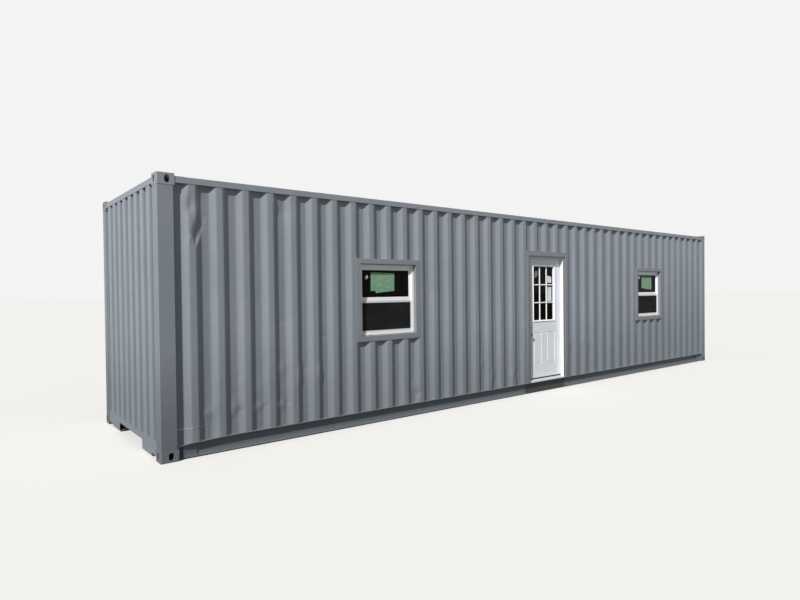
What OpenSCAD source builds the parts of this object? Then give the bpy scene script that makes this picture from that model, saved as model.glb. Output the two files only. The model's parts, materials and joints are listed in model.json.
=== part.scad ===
// Shipping container cabin: a 40 ft high container with a house door and two hung windows let into one side.
// x runs along the container from its blind end to its cargo doors, y across it, z up from the ground.
// The entry door and the windows are in the wall at low y. Lengths along x and y below are taken from the
// blind end and from the entry side, so along(0) and across(0) are the container's outer corner.

/* [Container] */
// Length over the corner fittings
body_len = 12192; // [11400:1:13716]
// Width over the corner fittings
body_wid = 2438; // [2300:1:2600]
// Height over the corner fittings
body_hgt = 2896; // [2750:1:3100]

/* [Corner fittings] */
// Length of a fitting along the container
fitting_len = 178; // [170:0.5:190]
// Width of a fitting across the container
fitting_wid = 162; // [155:0.5:175]
// Height of a fitting
fitting_hgt = 118; // [112:0.5:130]
// Thickness of the plate that holds the lashing slot
fitting_plate = 28.5; // [20:0.5:34]
// Thickness of the outer side and end walls
fitting_wall = 30; // [20:0.5:36]
// Thickness of the walls that face the container
fitting_back = 14; // [8:0.5:20]
// Radius of the fittings' outer upright edge
fitting_round = 14; // [6:0.5:20]
// End to end length of a lashing slot
slot_len = 124.5; // [115:0.5:126]
// Width of a lashing slot
slot_wid = 63.5; // [56:0.5:66]
// Slot centre from the container's end
slot_from_end = 103.5; // [100:0.5:106]
// Slot centre from the container's side
slot_from_side = 89.5; // [80:0.5:95]
// Height of a side or end port
port_hgt = 79.5; // [70:0.5:82]
// Width of a side or end port
port_wid = 51; // [45:0.5:60]

/* [Posts] */
// Side face of a corner post
post_side = 162; // [140:0.5:170]
// End face of a front post
post_front = 149; // [130:0.5:160]
// End face of a rear post's outer part
post_rear = 52; // [45:0.5:70]
// Plate of the pressed posts
post_plate = 6; // [4:0.5:8]
// Return flanges of the pressed posts
post_return = 50; // [40:0.5:60]
// Posts stand back from the fittings' faces by this much
post_setback = 3; // [1:0.5:6]
// Radius of the posts' outer upright edge
post_round = 9; // [4:0.5:12]
// Width across the container of a rear post's inner box
stop_wid = 80; // [60:0.5:100]

/* [Rails] */
// Side of the square top rails
top_rail = 60; // [50:0.5:75]
// Wall of the top rails
top_rail_wall = 3; // [2:0.25:5]
// Drop from the fittings' tops to the top rails' tops
top_rail_drop = 30; // [26:0.5:40]
// Top rails stand back from the fittings' side faces by this much
top_rail_setback = 5; // [2:0.5:8]
// Height of the bottom side rails
low_rail_hgt = 162; // [145:0.5:175]
// Top flange of the bottom side rails
low_rail_top = 56; // [46:0.5:60]
// Bottom flange of the bottom side rails
low_rail_foot = 30; // [22:0.5:40]
// Plate of the bottom side rails
low_rail_plate = 4.5; // [3:0.25:6]
// Bottom side rails clear the ground by this much
low_rail_clear = 12.5; // [8:0.5:20]
// Flange tips stand back from the fittings' side faces by this much
low_rail_setback = 4; // [2:0.5:6]
// Start of the end plates that close the bottom rails, from the container's ends
end_plate_from = 225; // [200:1:260]
// Length of those end plates
end_plate_len = 150; // [100:1:250]

/* [Side walls] */
// Flat outer face of a fold
wave_outer = 72; // [60:0.5:90]
// Flat inner face of a fold
wave_inner = 70; // [60:0.5:90]
// Length along the wall of a sloping face
wave_slope = 68; // [50:0.5:80]
// Depth of the folds
wave_depth = 36; // [25:0.5:40]
// Start of the first slope from the blind end
wave_start = 245; // [200:1:280]
// Sheet of the side and end walls
wall_sheet = 2; // [1.6:0.1:4]
// Outer faces stand back from the fittings' side faces by this much
side_setback = 8; // [5:0.5:12]

/* [Blind end] */
// Flat outer face of a fold of the end wall
end_outer = 114; // [90:0.5:130]
// Flat inner face of a fold of the end wall
end_inner = 120; // [90:0.5:130]
// Width of a sloping face of the end wall
end_slope = 8; // [6:0.5:30]
// Depth of the end wall's folds
end_depth = 45.6; // [30:0.2:48]
// Outer faces stand back from the fittings' end faces by this much
end_setback = 7; // [5:0.5:10]
// Plate of the front sill
sill_plate = 5; // [3:0.5:8]
// Depth of the front sill's flanges
sill_flange = 60; // [50:1:80]
// Height of the front sill's lower edge
sill_foot = 17; // [12:0.5:30]
// Height of the sill's raised edge beside the fittings
sill_notch = 45; // [30:1:70]
// Outer end of that raised edge, from the container's side
sill_notch_to = 352; // [300:1:450]

/* [Roof] */
// Flat top of a roof fold
roof_crest = 91; // [70:0.5:120]
// Flat bottom of a roof fold
roof_valley = 91; // [70:0.5:120]
// Length along the roof of a sloping face
roof_slope = 13.5; // [10:0.5:25]
// Height of the roof folds
roof_depth = 20; // [12:0.5:22]
// Sheet of the roof
roof_sheet = 2; // [1.6:0.1:3]
// Plain border of the roof beside the top rails
roof_border = 72; // [60:1:120]
// Plain border of the roof at each end
roof_end = 300; // [250:1:500]
// Length of the plates that guard the roof beside the fittings
guard_len = 100; // [80:1:105]
// Thickness of the guard plates
guard_plate = 4; // [2:0.5:6]

/* [Floor] */
// Thickness of the floor boards
floor_thick = 28; // [18:1:35]
// Height of the cross members
cross_hgt = 122; // [100:1:130]
// Flange of the cross members
cross_flange = 45; // [35:1:60]
// Plate of the cross members
cross_plate = 4; // [3:0.25:6]
// Distance from one cross member to the next
cross_pitch = 305; // [280:1:400]
// Length of the tunnel under the floor at the blind end
tunnel_len = 3315; // [3000:1:3600]
// Clear width of the tunnel
tunnel_wid = 1029; // [950:1:1100]
// Clear height of the tunnel above the ground
tunnel_hgt = 118; // [100:1:120]
// Plate of the tunnel
tunnel_plate = 6; // [4:0.5:8]
// Turned out foot of the tunnel's sides
tunnel_foot = 40; // [30:1:60]

/* [Windows] */
// Centre of the first window from the blind end
window_1_at = 2886; // [1500:1:5000]
// Centre of the second window from the blind end
window_2_at = 9632; // [8000:1:10600]
// Bottom of the steel surrounds above the ground
window_low = 1060; // [900:1:1200]
// Width over the steel surround
window_wid = 1035; // [1030:1:1150]
// Height over the steel surround
window_hgt = 1050; // [1030:1:1200]
// Face width of the windows' surround tubes
window_tube = 63.5; // [50:0.5:66]
// Depth of all surround tubes
surround_depth = 101.6; // [80:0.2:110]
// Wall of the surround tubes
surround_wall = 3; // [2:0.25:5]
// Surrounds stand back from the fittings' side faces by this much
surround_setback = 4; // [2:0.5:8]
// Width and height of the window unit
unit_size = 902; // [860:1:907]
// Window unit stands back from the surround's face by this much
unit_setback = 52; // [30:0.5:60]
// Depth of the window unit
unit_depth = 76; // [66:0.5:90]
// Face width of the window frame
unit_frame = 30; // [22:0.5:40]
// Face width of a sash bar
sash_bar = 38; // [30:0.5:50]
// Depth of a sash
sash_depth = 24; // [20:0.5:26]
// Height of the meeting bars
meet_bar = 46; // [36:0.5:56]
// Height of the meeting bars' centre above the unit's bottom
sash_meet = 461; // [400:1:520]
// Face width of the sashes' glazing beads
bead_wid = 9; // [6:0.5:14]
// How far the glazing beads lie below the sashes' faces
bead_drop = 4; // [2:0.5:5]
// Face width of the screen's frame
screen_bar = 26; // [16:0.5:32]
// Depth of the screen's frame
screen_depth = 10; // [7:0.5:12]
// Thickness of the sealed window panes
pane_thick = 14; // [8:0.5:18]

/* [Entry door] */
// Centre of the entry door from the blind end
entry_at = 6243; // [5500:1:7000]
// Width over the steel surround
entry_wid = 1087; // [1080:1:1150]
// Top of the steel surround above the ground
entry_top = 2327; // [2300:1:2500]
// Face width of the surround's side tubes
entry_tube = 50.8; // [40:0.2:60]
// Face height of the surround's head
entry_head = 76; // [60:1:90]
// Width of the door leaf
leaf_wid = 908; // [850:1:912]
// Height of the door leaf
leaf_hgt = 2007; // [1950:1:2020]
// Thickness of the door leaf
leaf_thick = 44.5; // [38:0.5:50]
// Gap between the leaf and its frame
leaf_gap = 5; // [5:0.5:8]
// Height of the threshold
threshold_hgt = 29; // [20:0.5:35]
// Gap between the threshold and the leaf
threshold_gap = 6; // [5:0.5:12]
// Thickness of the frame beside the leaf
jamb_thick = 19; // [16:0.5:24]
// Width of the frame's stop
stop_rise = 12.7; // [10:0.1:16]
// Depth of the frame
jamb_depth = 116; // [100:1:140]
// Frame stands back from the surround's face by this much
jamb_setback = 12; // [8:0.5:30]
// Width of the glazed opening in the leaf
lite_wid = 560; // [480:1:600]
// Height of the glazed opening in the leaf
lite_hgt = 916; // [800:1:960]
// Top of the glazed opening below the leaf's top
lite_drop = 128; // [110:1:180]
// Face width of the raised frame round the glass
lite_rim = 32; // [24:0.5:40]
// How far the raised frame stands out of the leaf
lite_stand = 11; // [6:0.5:14]
// Glazing bars each way
lite_bars = 2; // [1:1:4]
// Width of a glazing bar
bar_wid = 19; // [12:0.5:26]
// Height of the two lower panels
panel_hgt = 525; // [400:1:560]
// Width of each lower panel
panel_wid = 208; // [180:1:260]
// Centre of each lower panel from the leaf's centre
panel_off = 183; // [140:1:200]
// Height of the panels' lower edge above the leaf's bottom
panel_low = 245; // [200:1:320]
// Width of the groove round a panel
panel_groove = 16; // [10:0.5:30]
// Depth of the groove round a panel
panel_sink = 6; // [3:0.5:10]
// Height of the knob above the leaf's bottom
knob_at = 745; // [700:1:800]
// Height of the deadbolt above the knob
bolt_above = 102; // [90:1:140]
// Lock centres from the leaf's edge
backset = 66; // [60:1:70]
// Diameter of the knob
knob_dia = 54; // [48:0.5:60]
// How far the knob stands out of the leaf
knob_stand = 58; // [50:0.5:66]
// Radius of the knob's neck
knob_neck_r = 13; // [10:0.5:16]
// Diameter of the lock bores through the leaf
lock_bore = 54; // [50:1:56]
// Diameter of the lock roses
rose_dia = 64; // [58:0.5:70]
// Height of a hinge
hinge_hgt = 102; // [89:1:120]
// Radius of a hinge knuckle
knuckle_r = 6.5; // [5.5:0.1:8]
// Radius of a hinge pin
pin_r = 3.2; // [2.5:0.1:4]
// Clearance round a hinge pin
pin_clear = 0.1; // [0.05:0.01:0.3]
// Thickness of a hinge plate
hinge_plate = 2.4; // [2:0.1:3]
// How far a hinge plate reaches into the wood from the leaf's inner face
hinge_let_in = 34; // [25:1:38]

/* [Cargo doors] */
// Gap round each cargo door for its seal
cargo_gap = 12; // [8:0.5:16]
// Gap between the two cargo doors
cargo_split = 16; // [12:0.5:24]
// Depth of the cargo doors
cargo_depth = 50; // [45:0.5:60]
// Cargo doors' outer faces stand back from the container's end by this much
cargo_setback = 50; // [48:0.5:60]
// Face width of the cargo doors' upright tubes
cargo_stile = 100; // [80:1:120]
// Face height of the cargo doors' top and bottom channels
cargo_rail = 150; // [120:1:180]
// Height of the door opening's lower edge
cargo_low = 165; // [150:1:180]
// Height of the beam over the door opening
header_hgt = 116; // [100:1:150]
// Plate of the cargo doors' tubes
cargo_wall = 3.2; // [2.5:0.1:5]
// Radius of the lock rods
rod_r = 17; // [14:0.5:18]
// Lock rod centres from the doors' outer faces
rod_stand = 24; // [22:0.5:28]
// Width of a rod bearing
bearing_wid = 64; // [56:1:80]
// Height of a rod bearing
bearing_hgt = 44; // [30:1:60]
// Centre of the rods' cams beyond the edge of the door opening
cam_past = 36; // [32:0.5:40]
// Length of a cam's nose beside its rod
cam_nose = 28; // [20:0.5:36]
// Height of a cam
cam_hgt = 26; // [20:0.5:30]
// Height of the lock handles above the second row of bearings
handle_above = 81; // [60:1:120]
// Face width of a lock handle
handle_wid = 32; // [24:1:40]
// Thickness of a lock handle
handle_plate = 12; // [8:0.5:14]
// End of the lock handles from the middle of the leaf
handle_rest = 44; // [30:1:80]
// Height of a handle's hub
hub_hgt = 50; // [44:1:60]
// Wall of the hubs and bearings round a rod
hub_wall = 6; // [4:0.5:8]
// Thickness of a bearing's foot plate
bearing_plate = 8; // [5:0.5:10]
// Width of the ledge under a handle's end
ledge_wid = 24; // [16:1:30]
// Radius of the cargo doors' hinge knuckles
cargo_knuckle_r = 14; // [11:0.5:16]
// Radius of their pins
cargo_pin_r = 8; // [5:0.5:9]
// Height of a cargo door hinge
cargo_hinge_hgt = 120; // [100:1:150]
// Height of a hinge's blade on the door
blade_hgt = 70; // [50:1:90]
// Thickness of that blade
blade_plate = 10; // [8:0.5:12]
// How far the blade reaches past the door's upright tube
blade_past = 60; // [20:1:80]
// Gap between a hinge's knuckle and its lugs
lug_gap = 1; // [0.5:0.1:2]
// How far a pin stands out past its lugs
pin_past = 3; // [1:0.5:6]
// Thickness of the lugs that hold a pin
lug_plate = 14; // [10:0.5:18]

/* [Hidden] */
$fn = 48;
slip = 0.3;

unit_deep = surround_setback + unit_setback;
leaf_face = surround_setback + jamb_setback + jamb_depth - leaf_thick;
surround_deep = surround_setback + surround_depth;

rail_top = low_rail_clear + low_rail_hgt;
web_out = low_rail_setback + low_rail_top - low_rail_plate;
web_in = low_rail_setback + low_rail_top;
roof_low = body_hgt - top_rail_drop;
wall_top = roof_low - top_rail;
fitting_top = body_hgt - fitting_hgt;

leaf_low = rail_top + threshold_hgt + threshold_gap;
leaf_top = leaf_low + leaf_hgt;
leaf_from = entry_at - leaf_wid / 2;
leaf_to = entry_at + leaf_wid / 2;
leaf_back = leaf_face + leaf_thick;
frame_top = leaf_top + leaf_gap + jamb_thick;
hinge_x = leaf_to + leaf_gap / 2;
hinge_y = leaf_back + knuckle_r;
lock_x = leaf_from + backset;
knob_z = leaf_low + knob_at;
bolt_z = knob_z + bolt_above;
lite_low = leaf_top - lite_drop - lite_hgt;
hinge_rows = [0.1, 0.5, 0.9];

stop_from = cargo_setback + cargo_depth + cargo_gap / 2;
cargo_hgt = roof_low - header_hgt - cargo_low;
cargo_face = body_len - cargo_setback;
cargo_back = cargo_face - cargo_depth;
beam_from = body_len - post_side;
cargo_from = post_setback + post_rear + cargo_gap;
cargo_leaf = (body_wid - 2 * cargo_from - cargo_split) / 2;
cargo_z = cargo_low + cargo_gap;
cargo_leaf_hgt = cargo_hgt - 2 * cargo_gap;
rod_x = cargo_face + rod_stand;
rod_off = wave_outer + wave_inner + 2 * wave_slope;
bearing_rows = [0.08, 0.36, 0.64, 0.92];
cam_room = 2;
keeper_wall = 7;
handle_z = cargo_z + bearing_rows[1] * cargo_leaf_hgt + handle_above;
cargo_pin_y = post_setback + post_rear + cargo_knuckle_r + slip;

side_fold = [wave_outer, wave_inner, wave_slope, wave_depth];
end_fold = [end_outer, end_inner, end_slope, end_depth];
even_folds = [[0, 0], [1, 0]];

// How far the folds of a welded side wall are off their even places, as [fold, shift]
side_drift = [
    [0, 0], [4, 45], [8, 37], [14, 13], [18, 12], [23, 36], [28, 44], [29, 63], [36, 82], [38, 62], [42, 66]
];
end_start = body_wid / 2 - end_inner / 2 - end_slope - end_outer - end_slope;

tunnel_end = end_setback + sill_flange + tunnel_len;
tunnel_side = (body_wid - tunnel_wid) / 2 - tunnel_plate;

meet_z = window_low + (window_hgt - unit_size) / 2 + sash_meet;
screen_room = 14;
screen_cloth = 1;
sash_room = 2;
upper_deep = unit_deep + screen_room + 6;
lower_deep = upper_deep + sash_depth + sash_room;

// Place along the container from its blind end
function along(d) = d - body_len / 2;

// Place across the container from its entry side
function across(d) = d - body_wid / 2;

// Turns a list of points round
function turned(points) = [for (i = [len(points) - 1 : -1 : 0]) points[i]];

// The same points on the far side of the container, in turned order
function far_side(points) = turned([for (p = points) [body_wid - p[0], p[1]]]);

// Swaps the two values of each point
function swapped(points) = [for (p = points) [p[1], p[0]]];

// Points of one face of a folded sheet, as [place along it, depth]. fold is [outer, inner, slope, depth].
function fold_line(a, b, start, fold, drift, shift) =
    let (pitch = fold[0] + fold[1] + 2 * fold[2])
    let (low = floor((a - start) / pitch) - 2, high = ceil((b - start) / pitch) + 1)
    [
        for (k = [low : high])
            let (s = start + k * pitch + lookup(k, drift), t = s + fold[2] + fold[0])
            each [[s + shift, fold[3]], [s + fold[2] + shift, 0], [t - shift, 0], [t + fold[2] - shift, fold[3]]]
    ];

// Part of such a line between a and b
function clipped(line, a, b) = concat(
    [[a, lookup(a, line)]],
    [for (p = line) if (p[0] > a && p[0] < b) p],
    [[b, lookup(b, line)]]
);

// Closed outline of a folded sheet between a and b, with its folds mitred at full thickness
function fold_outline(a, b, start, fold, drift, sheet) =
    let (angle = atan2(fold[3], fold[2]), shift = sheet * tan(angle / 2))
    let (inner = clipped(fold_line(a, b, start, fold, drift, shift), a, b))
    concat(
        clipped(fold_line(a, b, start, fold, drift, 0), a, b),
        turned([for (p = inner) [p[0], p[1] + sheet]])
    );

// Box from one corner to the other, in places along and across the container
module block(low, high) {
    translate([along(low[0]), across(low[1]), low[2]])
        cube([high[0] - low[0], high[1] - low[1], high[2] - low[2]]);
}

// Upright prism of an outline given in places along and across the container
module upright(low, high) {
    translate([along(0), across(0), low])
        linear_extrude(high - low)
            children();
}

// Prism along the container of an outline given as [across, height]
module lengthwise(from, to) {
    translate([along(from), across(0), 0])
        rotate([90, 0, 90])
            linear_extrude(to - from)
                children();
}

// Prism across the container of an outline given as [along, height]
module crosswise(from, to) {
    translate([along(0), across(to), 0])
        rotate([90, 0, 0])
            linear_extrude(to - from)
                children();
}

// The same piece on both sides of the container
module both_sides() {
    children();
    mirror([0, 1, 0])
        children();
}

// The same piece at both ends of the container
module both_ends() {
    children();
    mirror([1, 0, 0])
        children();
}

// Straight slot with round ends through a plate, along x
module slot(length, width, depth) {
    reach = (length - width) / 2;
    linear_extrude(depth)
        union() {
            square([2 * reach, width], center = true);
            translate([-reach, 0])
                circle(d = width);
            translate([reach, 0])
                circle(d = width);
        }
}

// Everything outside a rounded upright edge whose sharp corner is at [from, from]
module outside_edge(from, radius, low, high) {
    difference() {
        block([from - 1, from - 1, low - 1], [from + radius, from + radius, high + 1]);
        translate([along(from + radius), across(from + radius), low - 2])
            cylinder(r = radius, h = high - low + 4);
    }
}

// Hollow cast fitting of the corner at along(0), across(0), with its slotted plate at the bottom
module fitting() {
    through = fitting_wall + 2;
    difference() {
        block([0, 0, 0], [fitting_len, fitting_wid, fitting_hgt]);
        outside_edge(0, fitting_round, 0, fitting_hgt);
        block(
            [fitting_wall, fitting_wall, fitting_plate],
            [fitting_len - fitting_back, fitting_wid - fitting_back, fitting_hgt - fitting_back]
        );
        translate([along(slot_from_end), across(slot_from_side), -1])
            slot(slot_len, slot_wid, fitting_plate + 2);
        translate([along(slot_from_end), across(-1), fitting_hgt / 2])
            rotate([0, 90, 90])
                slot(port_hgt, port_wid, through);
        translate([along(-1), across(slot_from_side), fitting_hgt / 2])
            rotate([0, 90, 0])
                slot(port_hgt, port_wid, through);
    }
}

module bottom_fittings() {
    color("slategray")
        both_ends()
            both_sides()
                fitting();
}

module top_fittings() {
    color("slategray")
        both_ends()
            both_sides()
                translate([0, 0, body_hgt])
                    mirror([0, 0, 1])
                        fitting();
}

// Room that the fittings take out of a wall or roof sheet
module fitting_room() {
    both_ends()
        both_sides() {
            block([-1, -1, -1], [fitting_len, fitting_wid, fitting_hgt]);
            block([-1, -1, fitting_top], [fitting_len, fitting_wid, body_hgt + 1]);
        }
}

// Pressed open section: a side face, an end face and a flange on the far edge of each
module pressed_post(side, front, side_flange, front_flange) {
    s = post_setback;
    t = post_plate;
    polygon([
        [s, s], [side, s], [side, s + side_flange], [side - t, s + side_flange], [side - t, s + t], [s + t, s + t],
        [s + t, front - t], [s + front_flange, front - t], [s + front_flange, front], [s, front]
    ]);
}

module front_posts() {
    color("slategray")
        both_sides()
            difference() {
                upright(fitting_hgt, fitting_top)
                    pressed_post(post_side, post_front, post_return, post_return);
                outside_edge(post_setback, post_round, fitting_hgt, fitting_top);
            }
}

module rear_posts() {
    stop_len = post_side - stop_from;
    color("slategray")
        mirror([1, 0, 0])
            both_sides() {
                difference() {
                    upright(fitting_hgt, fitting_top)
                        pressed_post(post_side, post_setback + post_rear, post_return,
                            stop_from - post_setback);
                    outside_edge(post_setback, post_round, fitting_hgt, fitting_top);
                }
                upright(fitting_hgt, fitting_top)
                    translate([stop_from, post_setback + post_plate])
                        difference() {
                            square([stop_len, stop_wid]);
                            translate([post_plate, post_plate])
                                square([stop_len - 2 * post_plate, stop_wid - 2 * post_plate]);
                        }
            }
}

// Section of a square tube with its low corner at [x, y]
module tube_section(x, y, width, height, wall) {
    difference() {
        translate([x, y])
            square([width, height]);
        translate([x + wall, y + wall])
            square([width - 2 * wall, height - 2 * wall]);
    }
}

module top_side_rails() {
    color("slategray")
        both_sides()
            lengthwise(fitting_len, body_len - fitting_len)
                tube_section(top_rail_setback, wall_top, top_rail, top_rail, top_rail_wall);
}

// Channel that opens outwards: the wall stands on its wide top flange
module bottom_side_rail() {
    t = low_rail_plate;
    low = low_rail_clear;
    foot = web_in - low_rail_foot;
    lengthwise(fitting_len, body_len - fitting_len)
        polygon([
            [web_in, low], [web_in, rail_top], [low_rail_setback, rail_top], [low_rail_setback, rail_top - t],
            [web_out, rail_top - t], [web_out, low + t], [foot, low + t], [foot, low]
        ]);
}

module bottom_side_rails() {
    foot = web_in - low_rail_foot;
    t = low_rail_plate;
    color("slategray")
        both_sides() {
            bottom_side_rail();
            both_ends()
                block([end_plate_from, foot, low_rail_clear], [end_plate_from + end_plate_len, foot + t, rail_top]);
        }
}

module front_top_rail() {
    color("slategray")
        crosswise(fitting_wid, body_wid - fitting_wid)
            tube_section(end_setback, wall_top, top_rail, top_rail, top_rail_wall);
}

// Face of the front sill between a low and a high edge, with the mouth of the tunnel cut out
module front_sill_face() {
    mid = body_wid / 2;
    half = tunnel_wid / 2;
    difference() {
        translate([fitting_wid, sill_foot])
            square([body_wid - 2 * fitting_wid, rail_top - sill_foot]);
        translate([fitting_wid - 1, sill_foot - 1])
            square([sill_notch_to - fitting_wid + 1, sill_notch - sill_foot + 1]);
        translate([body_wid - sill_notch_to, sill_foot - 1])
            square([sill_notch_to - fitting_wid + 1, sill_notch - sill_foot + 1]);
        translate([mid - half, sill_foot - 1])
            square([tunnel_wid, tunnel_hgt - sill_foot + 1]);
    }
}

module front_sill() {
    deep = end_setback + sill_flange;
    color("slategray") {
        lengthwise(end_setback, end_setback + sill_plate)
            front_sill_face();
        block([end_setback, fitting_wid, rail_top - sill_plate], [deep, body_wid - fitting_wid, rail_top]);
        both_sides()
            block(
                [end_setback, sill_notch_to, sill_foot],
                [deep, (body_wid - tunnel_wid) / 2, sill_foot + sill_plate]
            );
    }
}

// Box beam of the cargo end between the posts, with room for the fittings
module rear_beam(low, high) {
    from = post_setback + post_plate + stop_wid;
    difference() {
        lengthwise(beam_from, cargo_face)
            translate([from, low])
                square([body_wid - 2 * from, high - low]);
        lengthwise(beam_from + post_plate, cargo_face - post_plate)
            translate([from - 1, low + post_plate])
                square([body_wid - 2 * from + 2, high - low - 2 * post_plate]);
        fitting_room();
    }
}

module rear_header() {
    color("slategray")
        rear_beam(cargo_low + cargo_hgt, roof_low);
}

module rear_sill() {
    color("slategray")
        rear_beam(sill_foot, cargo_low);
}

module front_wall() {
    a = post_front;
    b = body_wid - post_front;
    outline = fold_outline(a, b, end_start, end_fold, even_folds, wall_sheet);
    color("slategray")
        difference() {
            upright(rail_top, wall_top)
                translate([end_setback, 0])
                    polygon(swapped(outline));
            fitting_room();
        }
}

// Folded side wall of the entry side between two places, and between two heights
module side_sheet(a, b, low, high) {
    difference() {
        upright(low, high)
            translate([0, side_setback])
                polygon(fold_outline(a, b, wave_start, side_fold, side_drift, wall_sheet));
        fitting_room();
    }
}

// Room that a window's steel surround takes out of the wall
module window_room(at) {
    block(
        [at - window_wid / 2, -1, window_low],
        [at + window_wid / 2, fitting_wid, window_low + window_hgt]
    );
}

module far_wall() {
    color("slategray")
        mirror([0, 1, 0])
            side_sheet(post_side, body_len - post_side, rail_top, wall_top);
}

module entry_wall_left() {
    color("slategray")
        difference() {
            side_sheet(post_side, entry_at - entry_wid / 2, rail_top, wall_top);
            window_room(window_1_at);
        }
}

module entry_wall_over_door() {
    color("slategray")
        side_sheet(entry_at - entry_wid / 2, entry_at + entry_wid / 2, entry_top, wall_top);
}

module entry_wall_right() {
    color("slategray")
        difference() {
            side_sheet(entry_at + entry_wid / 2, body_len - post_side, rail_top, wall_top);
            window_room(window_2_at);
        }
}

// Everything below a folded roof surface whose folds fade out in a slope beside the rails
module roof_mass(drop, shift) {
    fold = [roof_valley, roof_crest, roof_slope, roof_depth];
    pitch = roof_valley + roof_crest + 2 * roof_slope;
    count = floor((body_len - 2 * roof_end - roof_crest - 2 * roof_slope) / pitch);
    start = body_len / 2 - count * pitch / 2 - roof_crest / 2 - roof_slope;
    top = roof_low + roof_sheet - drop;
    base = roof_low - drop;
    from = end_setback;
    to = body_len - end_setback;
    side = top_rail_setback;
    crests = [
        for (k = [0 : count])
            let (s = start + k * pitch, t = s + 2 * roof_slope + roof_crest)
            each [
                [s + shift, top], [s + roof_slope + shift, top + roof_depth],
                [t - roof_slope - shift, top + roof_depth], [t - shift, top]
            ]
    ];
    rise = side + roof_border;
    intersection() {
        crosswise(side, body_wid - side)
            polygon(concat([[from, base], [from, top]], crests, [[to, top], [to, base]]));
        lengthwise(from, to)
            polygon([
                [side, base], [side, top], [rise + shift, top], [rise + roof_slope + shift, top + roof_depth],
                [body_wid - rise - roof_slope - shift, top + roof_depth], [body_wid - rise - shift, top],
                [body_wid - side, top], [body_wid - side, base]
            ]);
    }
}

module roof() {
    angle = atan2(roof_depth, roof_slope);
    color("slategray")
        difference() {
            roof_mass(0, 0);
            roof_mass(roof_sheet, roof_sheet * tan(angle / 2));
            fitting_room();
        }
}

module roof_guards() {
    top = roof_low + roof_sheet;
    color("slategray")
        both_ends()
            both_sides()
                block(
                    [fitting_len, top_rail_setback, top],
                    [fitting_len + guard_len, fitting_wid + guard_len, top + guard_plate]
                );
}

// Channel across the container, its web at place x and its flanges turned towards the cargo doors
module cross_channel(x, from, to) {
    low = rail_top - floor_thick - cross_hgt;
    high = rail_top - floor_thick;
    t = cross_plate;
    crosswise(from, to)
        polygon([
            [x, low], [x + cross_flange, low], [x + cross_flange, low + t], [x + t, low + t],
            [x + t, high - t], [x + cross_flange, high - t], [x + cross_flange, high], [x, high]
        ]);
}

module cross_members() {
    first = tunnel_end + cross_pitch / 2;
    last = beam_from - cross_pitch / 2;
    short_first = end_setback + sill_flange + cross_pitch / 2;
    color("dimgray") {
        for (x = [first : cross_pitch : last])
            cross_channel(x, web_in, body_wid - web_in);
        both_sides()
            for (x = [short_first : cross_pitch : tunnel_end - cross_flange])
                cross_channel(x, web_in, tunnel_side);
    }
}

// Inverted trough under the floor, with turned out feet and with bearers on its back
module gooseneck_tunnel() {
    from = end_setback + sill_flange;
    high = rail_top - floor_thick;
    t = tunnel_plate;
    inner = (body_wid - tunnel_wid) / 2;
    outer = inner - t;
    half = [
        [outer - tunnel_foot, sill_foot], [inner, sill_foot], [inner, tunnel_hgt]
    ];
    upper = [
        [inner, tunnel_hgt + t], [inner, high], [outer, high], [outer, sill_foot + t],
        [outer - tunnel_foot, sill_foot + t]
    ];
    color("dimgray") {
        lengthwise(from, tunnel_end)
            polygon(concat(half, far_side(half), far_side(upper), upper));
        for (x = [from + cross_pitch / 2 : cross_pitch : tunnel_end - cross_flange])
            block([x, inner, tunnel_hgt + t], [x + cross_flange, body_wid - inner, high]);
    }
}

module floor_boards() {
    color("peru")
        difference() {
            block([end_setback + sill_flange, web_in, rail_top - floor_thick],
                [beam_from, body_wid - web_in, rail_top]);
            both_sides()
                block([0, 0, 0], [post_side + slip, post_setback + post_return + slip, rail_top + 1]);
        }
}

// Steel leaf of the cargo door at low y: two upright tubes, two channels and a folded panel
module cargo_leaf_form() {
    t = cargo_wall;
    y0 = cargo_from;
    y1 = cargo_from + cargo_leaf;
    top = cargo_z + cargo_leaf_hgt;
    panel_start = (y0 + y1) / 2 - wave_slope - wave_outer / 2;
    panel = fold_outline(y0 + cargo_stile, y1 - cargo_stile, panel_start, side_fold, even_folds, wall_sheet);
    for (y = [y0, y1 - cargo_stile])
        upright(cargo_z, top)
            tube_section(cargo_back, y, cargo_depth, cargo_stile, t);
    for (z = [cargo_z, top - cargo_rail])
        crosswise(y0 + cargo_stile, y1 - cargo_stile)
            tube_section(cargo_back, z, cargo_depth, cargo_rail, t);
    upright(cargo_z + cargo_rail, top - cargo_rail)
        translate([cargo_face - t, 0])
            polygon([for (p = panel) [-p[1], p[0]]]);
}

module cargo_door_left() {
    color("slategray")
        cargo_leaf_form();
}

module cargo_door_right() {
    color("slategray")
        mirror([0, 1, 0])
            cargo_leaf_form();
}

// Rubber seal round one cargo door
module cargo_seal() {
    y0 = cargo_from - cargo_gap;
    y1 = cargo_from + cargo_leaf + cargo_split / 2;
    difference() {
        block([cargo_back + 6, y0, cargo_low], [cargo_face - 6, y1, cargo_low + cargo_hgt]);
        block([cargo_back, cargo_from, cargo_z],
            [cargo_face, cargo_from + cargo_leaf, cargo_z + cargo_leaf_hgt]);
    }
}

module cargo_seals() {
    color("black")
        both_sides()
            cargo_seal();
}

// Places across the container of the lock rods on the leaf at low y, on the folds beside its middle
function rod_places() = [for (way = [-1, 1]) cargo_from + cargo_leaf / 2 + way * rod_off];

// Heights of the rods' cams, below and above the door opening
cam_rows = [cargo_low - cam_past, cargo_low + cargo_hgt + cam_past];

// Ways in which the handles and cams of a leaf's rods point, towards the middle of the leaf
rod_ways = [1, -1];

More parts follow.
